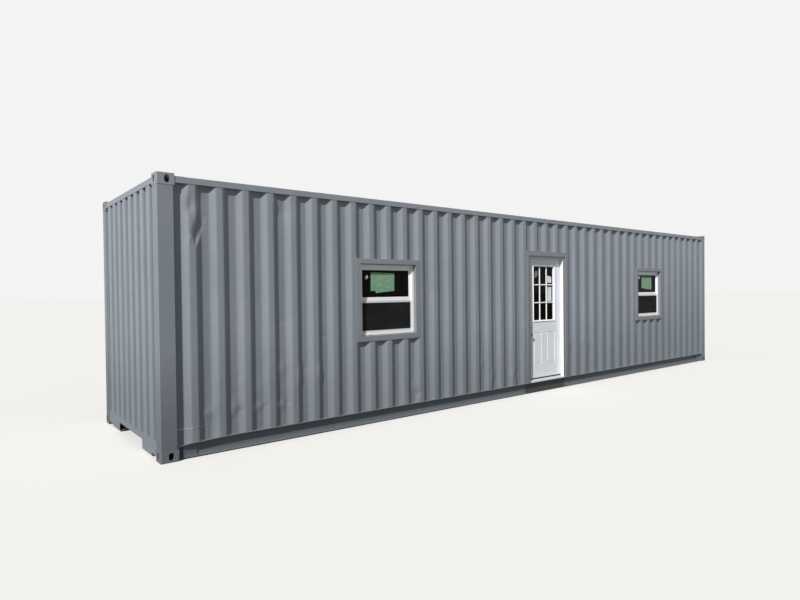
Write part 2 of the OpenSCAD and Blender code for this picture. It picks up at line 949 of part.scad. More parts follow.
// Block beside a rod between two distances from the rod's centre
module beside_rod(i, from, to, x0, x1, z0, z1) {
    y = rod_places()[i];
    way = rod_ways[i];
    block([x0, min(y + way * from, y + way * to), z0], [x1, max(y + way * from, y + way * to), z1]);
}

module lock_rods() {
    color("silver")
        both_sides()
            for (i = [0 : len(rod_ways) - 1]) {
                y = rod_places()[i];
                translate([along(rod_x), across(y), cam_rows[0] - cam_hgt / 2])
                    cylinder(r = rod_r, h = cam_rows[1] - cam_rows[0] + cam_hgt);
                for (z = cam_rows)
                    beside_rod(i, 0, rod_r + cam_nose, rod_x - rod_r / 2, rod_x + rod_r / 2, z - cam_hgt / 2,
                        z + cam_hgt / 2);
            }
}

// Bearing of a lock rod on the door, bored for the rod
module rod_bearing(y, z) {
    hub = rod_r + hub_wall;
    panel_face = cargo_face - cargo_wall;
    difference() {
        union() {
            block([panel_face, y - bearing_wid / 2, z - bearing_hgt / 2],
                [panel_face + bearing_plate, y + bearing_wid / 2, z + bearing_hgt / 2]);
            block([panel_face, y - hub, z - bearing_hgt / 2], [rod_x, y + hub, z + bearing_hgt / 2]);
            translate([along(rod_x), across(y), z - bearing_hgt / 2])
                cylinder(r = hub, h = bearing_hgt);
        }
        translate([along(rod_x), across(y), z - bearing_hgt / 2 - 1])
            cylinder(r = rod_r + slip, h = bearing_hgt + 2);
    }
}

// Keeper on the beam that a cam's nose turns into, open towards the rod
module cam_keeper(i, z) {
    from = rod_r + hub_wall;
    room = rod_r / 2 + cam_room;
    tall = cam_hgt / 2 + cam_room;
    difference() {
        beside_rod(i, from, rod_r + cam_nose + cam_room + keeper_wall, cargo_face, rod_x + room + keeper_wall,
            z - tall - keeper_wall, z + tall + keeper_wall);
        beside_rod(i, from - 1, rod_r + cam_nose + cam_room, rod_x - room, rod_x + room, z - tall, z + tall);
    }
}

// Plate in the middle of a leaf with a ledge under the end of each handle
module handle_catch() {
    mid = cargo_from + cargo_leaf / 2;
    half = ledge_wid / 2;
    wide = rod_off - handle_reach() + half;
    low = handle_z - handle_wid / 2;
    back = rod_x - handle_plate / 2 - cam_room;
    block([cargo_face - cargo_wall, mid - wide, low - keeper_wall],
        [back, mid + wide, handle_z + handle_wid / 2]);
    for (side = [-1, 1])
        block([back - 1, mid + side * (wide - half) - half, low - keeper_wall],
            [rod_x + handle_plate / 2 + cam_room, mid + side * (wide - half) + half, low - cam_room]);
}

module lock_brackets() {
    color("silver")
        both_sides() {
            for (i = [0 : len(rod_ways) - 1]) {
                for (r = bearing_rows)
                    rod_bearing(rod_places()[i], cargo_z + r * cargo_leaf_hgt);
                for (z = cam_rows)
                    cam_keeper(i, z);
            }
            handle_catch();
        }
}

// Length of a lock handle from its rod's centre
function handle_reach() = rod_off - handle_rest;

// Flat handle of a lock rod with the hub that clasps the rod
module lock_handles() {
    hub = rod_r + hub_wall;
    half = handle_plate / 2;
    color("silver")
        both_sides()
            for (i = [0 : len(rod_ways) - 1]) {
                difference() {
                    union() {
                        translate([along(rod_x), across(rod_places()[i]), handle_z - hub_hgt / 2])
                            cylinder(r = hub, h = hub_hgt);
                        beside_rod(i, 0, handle_reach(), rod_x - half, rod_x + half,
                            handle_z - handle_wid / 2, handle_z + handle_wid / 2);
                    }
                    translate([along(rod_x), across(rod_places()[i]), handle_z - hub_hgt / 2 - 1])
                        cylinder(r = rod_r + slip, h = hub_hgt + 2);
                }
            }
}

// Hinge of a cargo door: knuckle with pin and blade, and the lugs on the post that hold the pin
module cargo_hinge(z) {
    half = cargo_hinge_hgt / 2;
    r = cargo_knuckle_r;
    pin_x = cargo_face + r;
    pin_end = half + lug_gap + lug_plate + pin_past;
    translate([along(pin_x), across(cargo_pin_y), z - half])
        cylinder(r = r, h = cargo_hinge_hgt);
    translate([along(pin_x), across(cargo_pin_y), z - pin_end])
        cylinder(r = cargo_pin_r, h = 2 * pin_end);
    block([cargo_face, cargo_pin_y, z - blade_hgt / 2],
        [cargo_face + blade_plate, cargo_from + cargo_stile + blade_past, z + blade_hgt / 2]);
    for (low = [z - half - lug_gap - lug_plate, z + half + lug_gap])
        difference() {
            block([pin_x - r + lug_gap, post_setback + post_rear, low],
                [pin_x + r - lug_gap, cargo_pin_y + r - lug_gap, low + lug_plate]);
            translate([along(pin_x), across(cargo_pin_y), low - 1])
                cylinder(r = cargo_pin_r + slip, h = lug_plate + 2);
        }
}

module cargo_hinges() {
    color("slategray")
        both_sides()
            for (r = bearing_rows)
                cargo_hinge(cargo_z + r * cargo_leaf_hgt);
}

// Ring with a rectangular section in the entry wall's plane, as [x, z] corners of its outer and inner edge
module wall_ring(outer_low, outer_high, inner_low, inner_high, from, to) {
    difference() {
        block([outer_low[0], from, outer_low[1]], [outer_high[0], to, outer_high[1]]);
        block([inner_low[0], from - 1, inner_low[1]], [inner_high[0], to + 1, inner_high[1]]);
    }
}

// Square tube ring round a window, mitred at its corners and hollow
module window_surround(at) {
    a = [at - window_wid / 2, window_low];
    b = [at + window_wid / 2, window_low + window_hgt];
    t = window_tube;
    w = surround_wall;
    color("slategray")
        difference() {
            wall_ring(a, b, a + [t, t], b - [t, t], surround_setback, surround_deep);
            wall_ring(a + [w, w], b - [w, w], a + [t - w, t - w], b - [t - w, t - w],
                surround_setback + w, surround_deep - w);
        }
}

// Corners of a window unit as [x, z]
function unit_low(at) = [at - unit_size / 2, window_low + (window_hgt - unit_size) / 2];
function unit_high(at) = unit_low(at) + [unit_size, unit_size];

// White frame with its packing to the steel surround
module window_frame(at) {
    a = unit_low(at);
    b = unit_high(at);
    f = unit_frame;
    t = window_tube;
    low = [at - window_wid / 2 + t, window_low + t];
    high = [at + window_wid / 2 - t, window_low + window_hgt - t];
    color("white") {
        wall_ring(a, b, a + [f, f], b - [f, f], unit_deep, unit_deep + unit_depth);
        wall_ring(low, high, a, b, unit_deep + 6, surround_deep);
    }
}

// Corners of the two sashes and of their panes as [x, z]
function sash_low(at, upper) =
    [unit_low(at)[0] + unit_frame, upper ? meet_z - meet_bar / 2 : unit_low(at)[1] + unit_frame];
function sash_high(at, upper) =
    [unit_high(at)[0] - unit_frame, upper ? unit_high(at)[1] - unit_frame : meet_z + meet_bar / 2];
function pane_low(at, upper) = sash_low(at, upper) + [sash_bar, upper ? meet_bar : sash_bar];
function pane_high(at, upper) = sash_high(at, upper) - [sash_bar, upper ? sash_bar : meet_bar];
function sash_deep(upper) = upper ? upper_deep : lower_deep;

// Sash with a lower glazing bead round its pane on both faces
module sash(at, upper) {
    deep = sash_deep(upper);
    low = pane_low(at, upper);
    high = pane_high(at, upper);
    bead = [bead_wid, bead_wid];
    wall_ring(sash_low(at, upper), sash_high(at, upper), low - bead, high + bead, deep, deep + sash_depth);
    wall_ring(low - bead, high + bead, low, high, deep + bead_drop, deep + sash_depth - bead_drop);
}

module window_sashes(at) {
    color("white")
        for (upper = [true, false])
            sash(at, upper);
}

module window_glass(at) {
    color("darkslategray")
        for (upper = [true, false]) {
            low = pane_low(at, upper);
            high = pane_high(at, upper);
            mid = sash_deep(upper) + sash_depth / 2;
            block([low[0], mid - pane_thick / 2, low[1]], [high[0], mid + pane_thick / 2, high[1]]);
        }
}

// Framed insect screen over the lower sash
module window_screen(at) {
    a = unit_low(at) + [unit_frame, unit_frame];
    b = [unit_high(at)[0] - unit_frame, meet_z - meet_bar / 2];
    s = screen_bar;
    mid = upper_deep - screen_room + screen_depth / 2;
    color("dimgray") {
        wall_ring(a, b, a + [s, s], b - [s, s], mid - screen_depth / 2, mid + screen_depth / 2);
        block([a[0] + s, mid - screen_cloth / 2, a[1] + s], [b[0] - s, mid + screen_cloth / 2, b[1] - s]);
    }
}

// Three tubes round the doorway, standing on the bottom side rail
module entry_surround() {
    a = [entry_at - entry_wid / 2, rail_top];
    b = [entry_at + entry_wid / 2, entry_top];
    t = entry_tube;
    w = surround_wall;
    inner_low = [a[0] + t, rail_top - 1];
    inner_high = [b[0] - t, entry_top - entry_head];
    color("slategray")
        difference() {
            wall_ring(a, b, inner_low, inner_high, surround_setback, surround_deep);
            wall_ring(a + [w, w], b - [w, w], inner_low - [w, w], inner_high + [w, w],
                surround_setback + w, surround_deep - w);
        }
}

// White frame: outer edge, stop and rabbet, with packing to the surround and hinge seats
module entry_frame() {
    front = surround_setback + jamb_setback;
    back = front + jamb_depth;
    g = leaf_gap;
    inner_low = [leaf_from - g, rail_top - 1];
    inner_high = [leaf_to + g, leaf_top + g];
    outer_low = [inner_low[0] - jamb_thick, rail_top];
    outer_high = inner_high + [jamb_thick, jamb_thick];
    tube_low = [entry_at - entry_wid / 2 + entry_tube, rail_top];
    tube_high = [entry_at + entry_wid / 2 - entry_tube, entry_top - entry_head];
    stop_back = leaf_face - g;
    color("white")
        difference() {
            union() {
                wall_ring(outer_low, outer_high, inner_low, inner_high, front, back);
                wall_ring(inner_low + [0, 1], inner_high, inner_low + [stop_rise, 0],
                    inner_high - [stop_rise, stop_rise], front, stop_back);
                wall_ring(tube_low, tube_high, outer_low - [0, 1], outer_high, front + 6, surround_deep);
            }
            for (r = hinge_rows)
                hinge_seat(leaf_to + g - 0.1, leaf_to + g + hinge_plate, r);
        }
}

// Room for a hinge plate between two places along the wall
module hinge_seat(from, to, r) {
    z = leaf_low + r * leaf_hgt;
    block([from, leaf_back - hinge_let_in, z - hinge_hgt / 2], [to, leaf_back + 1, z + hinge_hgt / 2]);
}

// Sloped threshold on the bottom rail and the floor's edge
module entry_threshold() {
    front = surround_setback;
    back = surround_setback + jamb_setback + jamb_depth;
    g = leaf_gap - stop_rise;
    color("silver")
        translate([along(leaf_from - g), 0, 0])
            rotate([90, 0, 90])
                linear_extrude(leaf_wid + 2 * g)
                    translate([across(0), rail_top])
                        polygon([
                            [front, 0], [front, threshold_hgt * 0.6], [leaf_face - 12, threshold_hgt * 0.85],
                            [leaf_face - 4, threshold_hgt], [back, threshold_hgt], [back, 0]
                        ]);
}

// Plate of one hinge half, let into the wood, with tongues out to its knuckles between pairs of heights
module hinge_half(from, to, z, spans) {
    difference() {
        union() {
            block([from, leaf_back - hinge_let_in, z - hinge_hgt / 2], [to, leaf_back, z + hinge_hgt / 2]);
            for (span = spans) {
                block([from, leaf_back - 1, span[0]], [to, hinge_y, span[1]]);
                translate([along(hinge_x), across(hinge_y), span[0]])
                    cylinder(r = knuckle_r, h = span[1] - span[0]);
            }
        }
        translate([along(hinge_x), across(hinge_y), z - hinge_hgt / 2 - 1])
            cylinder(r = pin_r + pin_clear, h = hinge_hgt + 2);
    }
}

module entry_hinges_fixed() {
    half = hinge_hgt / 2;
    third = hinge_hgt / 6;
    color("silver")
        for (r = hinge_rows) {
            z = leaf_low + r * leaf_hgt;
            hinge_half(leaf_to + leaf_gap, leaf_to + leaf_gap + hinge_plate, z,
                [[z - half, z - third], [z + third, z + half]]);
            translate([along(hinge_x), across(hinge_y), z - half])
                cylinder(r = pin_r, h = hinge_hgt);
        }
}

module door_hinges() {
    third = hinge_hgt / 6 - slip;
    color("silver")
        for (r = hinge_rows) {
            z = leaf_low + r * leaf_hgt;
            hinge_half(leaf_to - hinge_plate, leaf_to, z, [[z - third, z + third]]);
        }
}

// Groove round one lower panel, cut into both faces of the leaf
module panel_groove_cut(x, deep) {
    z = leaf_low + panel_low;
    g = panel_groove;
    wall_ring([x, z], [x + panel_wid, z + panel_hgt], [x + g, z + g],
        [x + panel_wid - g, z + panel_hgt - g], deep, deep + panel_sink + 1);
}

module door_leaf() {
    color("white")
        difference() {
            block([leaf_from, leaf_face, leaf_low], [leaf_to, leaf_back, leaf_top]);
            block([entry_at - lite_wid / 2, leaf_face - 1, lite_low],
                [entry_at + lite_wid / 2, leaf_back + 1, lite_low + lite_hgt]);
            for (x = [entry_at - panel_off, entry_at + panel_off]) {
                panel_groove_cut(x - panel_wid / 2, leaf_face - 1);
                panel_groove_cut(x - panel_wid / 2, leaf_back - panel_sink);
            }
            for (r = hinge_rows)
                hinge_seat(leaf_to - hinge_plate, leaf_to + 1, r);
            for (z = [knob_z, bolt_z])
                translate([along(lock_x), across(leaf_face - 1), z])
                    rotate([-90, 0, 0])
                        cylinder(d = lock_bore, h = leaf_thick + 2);
        }
}

// Raised frame and glazing bars on both faces of the leaf
module door_lite() {
    out = lite_rim / 2;
    a = [entry_at - lite_wid / 2, lite_low];
    b = [entry_at + lite_wid / 2, lite_low + lite_hgt];
    o = [out, out];
    faces = [leaf_face - lite_stand, leaf_back];
    step_x = (lite_wid - 2 * out) / (lite_bars + 1);
    step_z = (lite_hgt - 2 * out) / (lite_bars + 1);
    glass_room = pane_thick / 2;
    mid = (leaf_face + leaf_back) / 2;
    color("white") {
        for (y = faces)
            wall_ring(a - o, b + o, a + o, b - o, y, y + lite_stand);
        wall_ring(a, b, a + o, b - o, leaf_face, mid - glass_room);
        wall_ring(a, b, a + o, b - o, mid + glass_room, leaf_back);
        for (y = [leaf_face - lite_stand / 2, mid + glass_room]) {
            deep = y < mid ? mid - glass_room - y : leaf_back + lite_stand / 2 - y;
            for (i = [1 : lite_bars]) {
                x = a[0] + out + i * step_x;
                z = a[1] + out + i * step_z;
                block([x - bar_wid / 2, y, a[1] + out / 2], [x + bar_wid / 2, y + deep, b[1] - out / 2]);
                block([a[0] + out / 2, y, z - bar_wid / 2], [b[0] - out / 2, y + deep, z + bar_wid / 2]);
            }
        }
    }
}

module door_glass() {
    mid = (leaf_face + leaf_back) / 2;
    half = pane_thick / 2;
    color("black")
        block([entry_at - lite_wid / 2, mid - half, lite_low],
            [entry_at + lite_wid / 2, mid + half, lite_low + lite_hgt]);
}

// Turns a round piece so that it stands out of the leaf's outer face
module on_leaf(x, z) {
    translate([along(x), across(leaf_face), z])
        rotate([90, 0, 0])
            children();
}

// Round plate that covers a lock bore, open for the knob's neck
module rose(bore_r) {
    rotate_extrude()
        polygon([[bore_r, 0], [rose_dia / 2, 0], [rose_dia / 2 - 1, 4], [rose_dia / 2 - 6, 8], [bore_r, 8]]);
}

// Deadbolt with its key cylinder outside and its turn piece inside, and the knob's two roses
module door_lockset() {
    key_r = rose_dia / 2 - 8;
    neck_room = knob_neck_r + slip;
    color("dimgray") {
        on_leaf(lock_x, bolt_z)
            rotate_extrude()
                polygon([[0, -leaf_thick], [20, -leaf_thick], [20, 0], [rose_dia / 2, 0], [rose_dia / 2, 5],
                    [key_r, 18], [key_r - 5, 20], [0, 20]]);
        on_leaf(lock_x, bolt_z)
            translate([0, 0, -leaf_thick])
                mirror([0, 0, 1])
                    rose(0);
        block([lock_x - 4, leaf_back + 8, bolt_z - 16], [lock_x + 4, leaf_back + 28, bolt_z + 16]);
        on_leaf(lock_x, knob_z)
            rose(neck_room);
        on_leaf(lock_x, knob_z)
            translate([0, 0, -leaf_thick])
                mirror([0, 0, 1])
                    rose(neck_room);
    }
}

// Both knobs on one spindle, which turns in the leaf
module door_knob() {
    r = knob_dia / 2;
    shape = [
        [0, 0], [knob_neck_r, 0], [knob_neck_r, 20], [r - 6, 28], [r - 1, 34], [r, 42],
        [r - 3, knob_stand - 6], [r - 9, knob_stand], [0, knob_stand]
    ];
    color("dimgray") {
        on_leaf(lock_x, knob_z)
            rotate_extrude()
                polygon(shape);
        on_leaf(lock_x, knob_z)
            translate([0, 0, -leaf_thick])
                mirror([0, 0, 1])
                    rotate_extrude()
                        polygon(shape);
        on_leaf(lock_x, knob_z)
            translate([0, 0, -leaf_thick])
                cylinder(r = knob_neck_r, h = leaf_thick);
    }
}

bottom_fittings();
top_fittings();
front_posts();
rear_posts();
top_side_rails();
bottom_side_rails();
front_top_rail();
front_sill();
rear_header();
rear_sill();
front_wall();
far_wall();
entry_wall_left();
entry_wall_over_door();
entry_wall_right();
roof();
roof_guards();
cross_members();
gooseneck_tunnel();
floor_boards();
cargo_door_left();
cargo_door_right();
cargo_seals();
lock_rods();
lock_brackets();
lock_handles();
cargo_hinges();
window_surround(window_1_at);  // window_1_surround
window_frame(window_1_at);  // window_1_frame
window_sashes(window_1_at);  // window_1_sashes
window_glass(window_1_at);  // window_1_glass
window_screen(window_1_at);  // window_1_screen
window_surround(window_2_at);  // window_2_surround
window_frame(window_2_at);  // window_2_frame
window_sashes(window_2_at);  // window_2_sashes
window_glass(window_2_at);  // window_2_glass
window_screen(window_2_at);  // window_2_screen
entry_surround();
entry_frame();
entry_threshold();
entry_hinges_fixed();
door_leaf();
door_lite();
door_glass();
door_hinges();
door_lockset();
door_knob();
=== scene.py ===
"""Looks of the shipping container cabin: dented sheets, welds, window and door details, paint and light."""
import json
import math
from bisect import bisect_left

import bmesh
import bpy
from mathutils import Matrix, Vector, noise


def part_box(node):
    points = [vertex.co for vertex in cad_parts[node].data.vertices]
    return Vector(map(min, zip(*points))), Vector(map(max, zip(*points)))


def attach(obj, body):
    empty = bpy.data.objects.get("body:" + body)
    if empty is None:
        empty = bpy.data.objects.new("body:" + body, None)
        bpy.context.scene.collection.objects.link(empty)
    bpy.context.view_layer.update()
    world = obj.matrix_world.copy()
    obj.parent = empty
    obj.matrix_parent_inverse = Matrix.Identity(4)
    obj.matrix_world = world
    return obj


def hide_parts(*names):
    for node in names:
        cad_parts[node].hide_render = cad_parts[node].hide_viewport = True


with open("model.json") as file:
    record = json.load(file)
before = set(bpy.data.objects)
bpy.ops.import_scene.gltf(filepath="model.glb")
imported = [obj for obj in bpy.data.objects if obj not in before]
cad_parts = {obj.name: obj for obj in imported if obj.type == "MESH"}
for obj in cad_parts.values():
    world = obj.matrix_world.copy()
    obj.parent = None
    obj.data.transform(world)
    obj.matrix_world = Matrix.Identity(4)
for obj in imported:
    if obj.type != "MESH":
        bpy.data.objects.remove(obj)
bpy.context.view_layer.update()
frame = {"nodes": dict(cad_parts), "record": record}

# Camera, solved from the container's corners in the photograph
CAMERA_AT = Vector((-7.7153, -7.0423, 1.686))
CAMERA_YAW = -0.676344
CAMERA_PITCH = -0.0148102
CAMERA_ROLL = -0.0111455
CAMERA_LENS = 25.398
SENSOR_WIDTH = 36.0

# Light and backdrop
SUN_TOWARDS = Vector((-0.667, -0.333, 0.6))
SUN_STRENGTH = 4.5
SUN_ANGLE = math.radians(1.5)
SKY_STRENGTH = 0.25
BACKDROP = 0.90
FLOOR_SIZE = 400.0

# The container's blind end and sides
FRONT = -6.096
ENTRY_SIDE = -1.219
RAIL_TOP = 0.1745
WALL_TOP = 2.806

# Folded sheets as in the CAD: the first fold's place, then outer face, inner face, slope and depth, and then
# how far the numbered folds are off their even places
SIDE = (0.245, (0.072, 0.070, 0.068, 0.036), [
    (0, 0.0), (4, 0.045), (8, 0.037), (14, 0.013), (18, 0.012), (23, 0.036),
    (28, 0.044), (29, 0.063), (36, 0.082), (38, 0.062), (42, 0.066)])
SIDE_SETBACK = 0.008
END = (1.219 - 0.060 - 0.008 - 0.114 - 0.008, (0.114, 0.120, 0.008, 0.0456), [(0, 0.0)])
END_SETBACK = 0.007
SHEET = 0.002
FOLD_ROUND = 0.011
FOLD_STEPS = 3
FOLD_SHARP = math.radians(32)

# Windows: a sash from its frame's edge, a screen's bar, and the lower pane behind the upper one
SASH_INSET = 0.030
SCREEN_BAR = 0.026
SASH_STEP = 0.026

# Window fittings: lock above the screen, then weep covers, lift rail and pull tabs from the sides
LOCK_RISE = 0.046
WEEP_IN = 0.16
LIFT_IN = 0.12
TAB_IN = 0.14

# Weld beads: lumps a metre, the lumps' share of the radius, and the radius along rails, along edges, round
# the openings in the wall and at the posts' ends
BEAD_LUMPS = 60
BEAD_UNEVEN = 0.5
RAIL_BEAD = 0.0035
EDGE_BEAD = 0.003
OPENING_BEAD = 0.004
POST_BEAD = 0.0025

# Floor screws: first row from the boards' end, row to row, and screws in a row over a width
FLOOR_FIRST = 0.12
FLOOR_ROW = 0.30
FLOOR_SCREWS = 9
FLOOR_WIDTH = 2.20

# Bumps of the entry wall: place from the blind end, height, half width, half height, push.
# A push above zero goes inwards, one below zero outwards.
BUMPS = [
    (0.320, 2.240, 0.018, 0.040, -0.004),
    (0.500, 0.431, 0.050, 0.045, -0.008),
    (0.560, 0.520, 0.040, 0.120, -0.006),
    (0.796, 0.470, 0.045, 0.075, -0.010),
    (0.850, 0.424, 0.030, 0.030, 0.006),
    (0.790, 0.340, 0.035, 0.045, 0.006),
    (1.070, 0.425, 0.050, 0.040, -0.009),
    (1.142, 0.432, 0.030, 0.030, 0.007),
    (1.100, 0.640, 0.060, 0.140, -0.006),
    (1.350, 0.410, 0.050, 0.045, -0.009),
    (1.414, 0.425, 0.030, 0.030, 0.007),
    (1.360, 0.820, 0.050, 0.080, -0.006),
    (1.560, 0.720, 0.045, 0.085, -0.007),
    (1.640, 0.800, 0.040, 0.060, 0.006),
    (1.820, 0.735, 0.045, 0.090, -0.007),
    (1.895, 1.176, 0.050, 0.018, 0.004),
    (1.673, 0.332, 0.060, 0.014, 0.003),
    (1.366, 1.360, 0.070, 0.016, 0.004),
    (1.400, 2.620, 0.100, 0.100, 0.007),
    (1.300, 2.700, 0.060, 0.060, -0.005),
    (3.330, 0.400, 0.045, 0.090, -0.009),
    (3.380, 0.310, 0.035, 0.035, 0.007),
    (4.669, 0.582, 0.045, 0.080, -0.008),
    (4.890, 0.400, 0.045, 0.080, -0.010),
    (5.334, 0.365, 0.045, 0.070, -0.009),
    (5.431, 0.371, 0.040, 0.050, 0.008),
    (6.891, 0.718, 0.045, 0.080, -0.010),
    (7.256, 0.747, 0.045, 0.090, -0.009),
    (7.476, 0.696, 0.045, 0.070, -0.009),
    (8.603, 0.777, 0.045, 0.080, -0.008),
]
BUMP_REACH = 2.2
BUMP_STEPS = 6
FACE_ROOM = 0.006

# The crushed rib beside the front post: a lumpy dent, and below it a crease that runs out in a V
DENT_AT = (0.326, 2.600)
DENT_SIZE = (0.036, 0.095)
DENT_STRETCH = 1.8
DENT_DEPTH = 0.015
DENT_LUMPS = 0.005
LUMPS_PER_METRE = (16, 10)
LUMPS_START = 3.1
CREASE_TIP = (0.379, 2.160)
CREASE_LEAN = 0.09
CREASE_TALL = 0.36
CREASE_DEEPEST = 0.11
CREASE_DEPTH = 0.024
CREASE_EDGE = 0.012
CREASE_OPENS = 0.30
CREASE_LEFT_EDGE = 0.008
CREASE_LEFT_OPENS = 0.33
CREASE_LEFT_TALL = 0.15

# Grid of the folded sheets: least gaps of its extra columns and rows, and the close grid at the crushed rib
GRID_GAPS = (0.011, 0.018)
CLOSE_COLUMNS = [0.26 + 0.005 * k for k in range(35)]
CLOSE_ROWS = [CREASE_TIP[1] - 0.01 + 0.010 * k for k in range(64)]
CLOSE_GAPS = (0.003, 0.006)

# Repair plate welded over the foot of the first folds
PLATE_TO = 0.490
PLATE_TOP = 0.312
PLATE_THICK = 0.0015
PLATE_EDGE = 0.001
PLATE_BEAD = 0.0032

# How far the bottom rail's top flange is bent down at places from the blind end, and up to which height above
# the flange the wall follows it
LIP_DIPS = ((0.170, 0.026), (0.230, 0.024), (0.310, 0.016), (0.435, 0.011), (0.550, 0.005), (0.813, 0.0))
LIP_HOLD = 0.004

# Bottom rail: lip, inner face and foot from the container's side, its plate, and the plates at its ends
RAIL_LIP = 0.004
RAIL_IN = 0.060
RAIL_FOOT = 0.030
RAIL_PLATE = 0.0045
RAIL_LOW = 0.0125
RAIL_BEND = 0.007
RAIL_END = ((0.225, 0.029), (0.375, 0.046))

# The door's sealed glass behind the leaf's face, a pane's thickness, and the gap between the panes
GLASS_BACK = 0.0255
PANE = 0.004
PANE_GAP = 0.003

# Frame of the door's glass: opening inside its edge, bars on the outside
LITE_INSET = 0.026
LITE_BACK_INSET = 0.032
LITE_HOLE = 0.016
LITE_BAR = 0.019
LITE_BAR_FACE = 0.009
LITE_BAR_BACK = 0.0115
LITE_BAR_SLOPE = 0.005
LITE_DROP = 0.006

# Latch and deadbolt above the ground, half their plates' height, its screws, and the deadbolt's key slot
LOCK_HEIGHTS = (0.9545, 1.0565)
LOCK_PLATE = 0.0285
LOCK_SCREWS = (-0.021, 0.021)
KEY_SLOT = (-0.2410, 1.0565)

# Outer faces of the posts' ends, from the container's middle
POST_FACES = (6.0925, 1.2155)

# Cargo doors: rods from a door's middle, bolts beside a rod and along a hinge, and the heights of the gear as
# shares of the door's own
ROD_OUT = 0.278
ROD_BOLTS = (-0.0275, 0.0275)
CARGO_HINGE_BOLTS = (0.045, 0.085, 0.125)
CARGO_ROWS = (0.08, 0.36, 0.64, 0.92)

# Gap between a pane and what is stuck to it
STUCK = 0.0002

# Hinge screws: faces of the leaf's and the frame's plates, then height and depth of each screw
LEAF_PLATE = 0.6012
FRAME_PLATE = 0.6058
HINGE_HALF = 0.051
HINGE_SCREWS = ((-0.036, -1.096), (-0.014, -1.104), (0.014, -1.104), (0.036, -1.096))

# Corner fittings: wall, height, top, and where their hollows begin and end from the container's middle
FITTING_WALL = 0.011
FITTING_TALL = 0.118
FITTING_TOP = 2.896
FITTING_SKIN = (0.009, 0.013)
FITTING_LONG = (5.930, 5.934)
FITTING_CROSS = (1.069, 1.073)

# The door frame's front is painted grey with the wall, up to this depth
FRAME_GREY = -1.2000

# Colours
PAINT = (0.228, 0.261, 0.300, 1)
PAINT_WORN = (0.253, 0.282, 0.315, 1)
PAINT_DARK = (0.158, 0.181, 0.208, 1)
DUST = (0.195, 0.200, 0.205, 1)
SURROUND_PAINT = (0.213, 0.233, 0.259, 1)
SCREEN_WHITE = (0.66, 0.68, 0.70, 1)
RAIL_PAINT = (0.190, 0.217, 0.250, 1)
POST_PAINT = (0.203, 0.233, 0.270, 1)
FRAME_PAINT = (0.165, 0.172, 0.180, 1)
RUST = (0.130, 0.055, 0.025, 1)
# Near black of the band on the rail below the doorway
UNDER_DOOR_BLACK = (0.040, 0.040, 0.040, 1)
WHITE = (0.81, 0.84, 0.88, 1)
WHITE_DULL = (0.68, 0.70, 0.72, 1)
VINYL = (0.89, 0.90, 0.92, 1)
VINYL_DULL = (0.76, 0.77, 0.79, 1)


def add_node(tree, kind, values, output=0, **settings):
    """Adds a shader node. Values go to its inputs: a socket is linked, and anything else is set."""
    node = tree.nodes.new(kind)
    for name, value in settings.items():
        setattr(node, name, value)
    for key, value in values.items():
        feed(tree, value, node.inputs[key])
    return node.outputs[output]


def feed(tree, source, socket):
    if isinstance(source, bpy.types.NodeSocket):
        tree.links.new(source, socket)
    else:
        socket.default_value = source


def seen_directly(tree, kinds):
    """1 for the camera's rays and for those of the other kinds."""
    rays = tree.nodes.new("ShaderNodeLightPath").outputs
    seen = rays["Is Camera Ray"]
    for kind in kinds:
        seen = add_node(tree, "ShaderNodeMath", {0: seen, 1: rays[kind]}, operation="MAXIMUM")
    return seen


def shaded(colour, share):
    """The colour made darker to a share of itself."""
    return tuple(c * share for c in colour[:3]) + (1,)


class Look:
    """A material that is being built. Each method adds nodes and returns their output."""

    def __init__(self, name):
        self.material = bpy.data.materials.new(name)
        self.material.use_nodes = True
        self.tree = self.material.node_tree
        self.inputs = self.tree.nodes["Principled BSDF"].inputs
        self.where = self.tree.nodes.new("ShaderNodeTexCoord").outputs["Object"]

    def add(self, kind, values, output=0, **settings):
        return add_node(self.tree, "ShaderNode" + kind, values, output, **settings)

    def noise(self, scale, stretch=(1, 1, 1), detail=4, rough=0.55):
        """Cloudy values from 0 to 1. scale is in patches a metre, stretch multiplies it on each axis."""
        place = self.add("Mapping", {"Scale": stretch, "Vector": self.where})
        values = {"Scale": scale, "Detail": detail, "Roughness": rough, "Vector": place}
        return self.add("TexNoise", values, "Fac")

    def axis(self, letter):
        """The place along one axis, in metres."""
        return self.add("SeparateXYZ", {0: self.where}, letter)

    def span(self, source, low, high, top=1.0):
        """Values of the source from low to high become 0 to top."""
        values = {"From Min": low, "From Max": high, "To Max": top, "Value": source}
        return self.add("MapRange", values, "Result", interpolation_type="SMOOTHSTEP")

    def patches(self, scale, low, high, top=1.0, **more):
        """Patches of a noise: 0 where it is below low, top where it is above high."""
        return self.span(self.noise(scale, **more), low, high, top)

    def height(self, low, high, top=1.0):
        """Heights above the ground from low to high become 0 to top."""
        return self.span(self.axis("Z"), low, high, top)

    def math(self, kind, first, second):
        return self.add("Math", {0: first, 1: second}, operation=kind)

    def times(self, first, second):
        return self.math("MULTIPLY", first, second)

    def uneven(self, base, scale, rise, **more):
        """Roughness that rises above its base in patches."""
        return self.math("ADD", self.patches(scale, 0.2, 0.8, rise, **more), base)

    def mix(self, share, first, second):
        """A colour that goes from the first to the second as share goes from 0 to 1."""
        return self.add("Mix", {"Factor": share, 6: first, 7: second}, 2, data_type="RGBA")

    def bump(self, layers):
        """Relief from (height, depth in metres) pairs."""
        normal = None
        for height, depth in layers:
            values = {"Distance": depth, "Height": height}
            if normal is not None:
                values["Normal"] = normal
            normal = self.add("Bump", values, "Normal")
        feed(self.tree, normal, self.inputs["Normal"])

    def finish(self, colour, roughness, metallic=0.0, specular=0.5):
        for key, value in (
                ("Base Color", colour), ("Roughness", roughness), ("Metallic", metallic),
                ("Specular IOR Level", specular)):
            feed(self.tree, value, self.inputs[key])
        return self.material


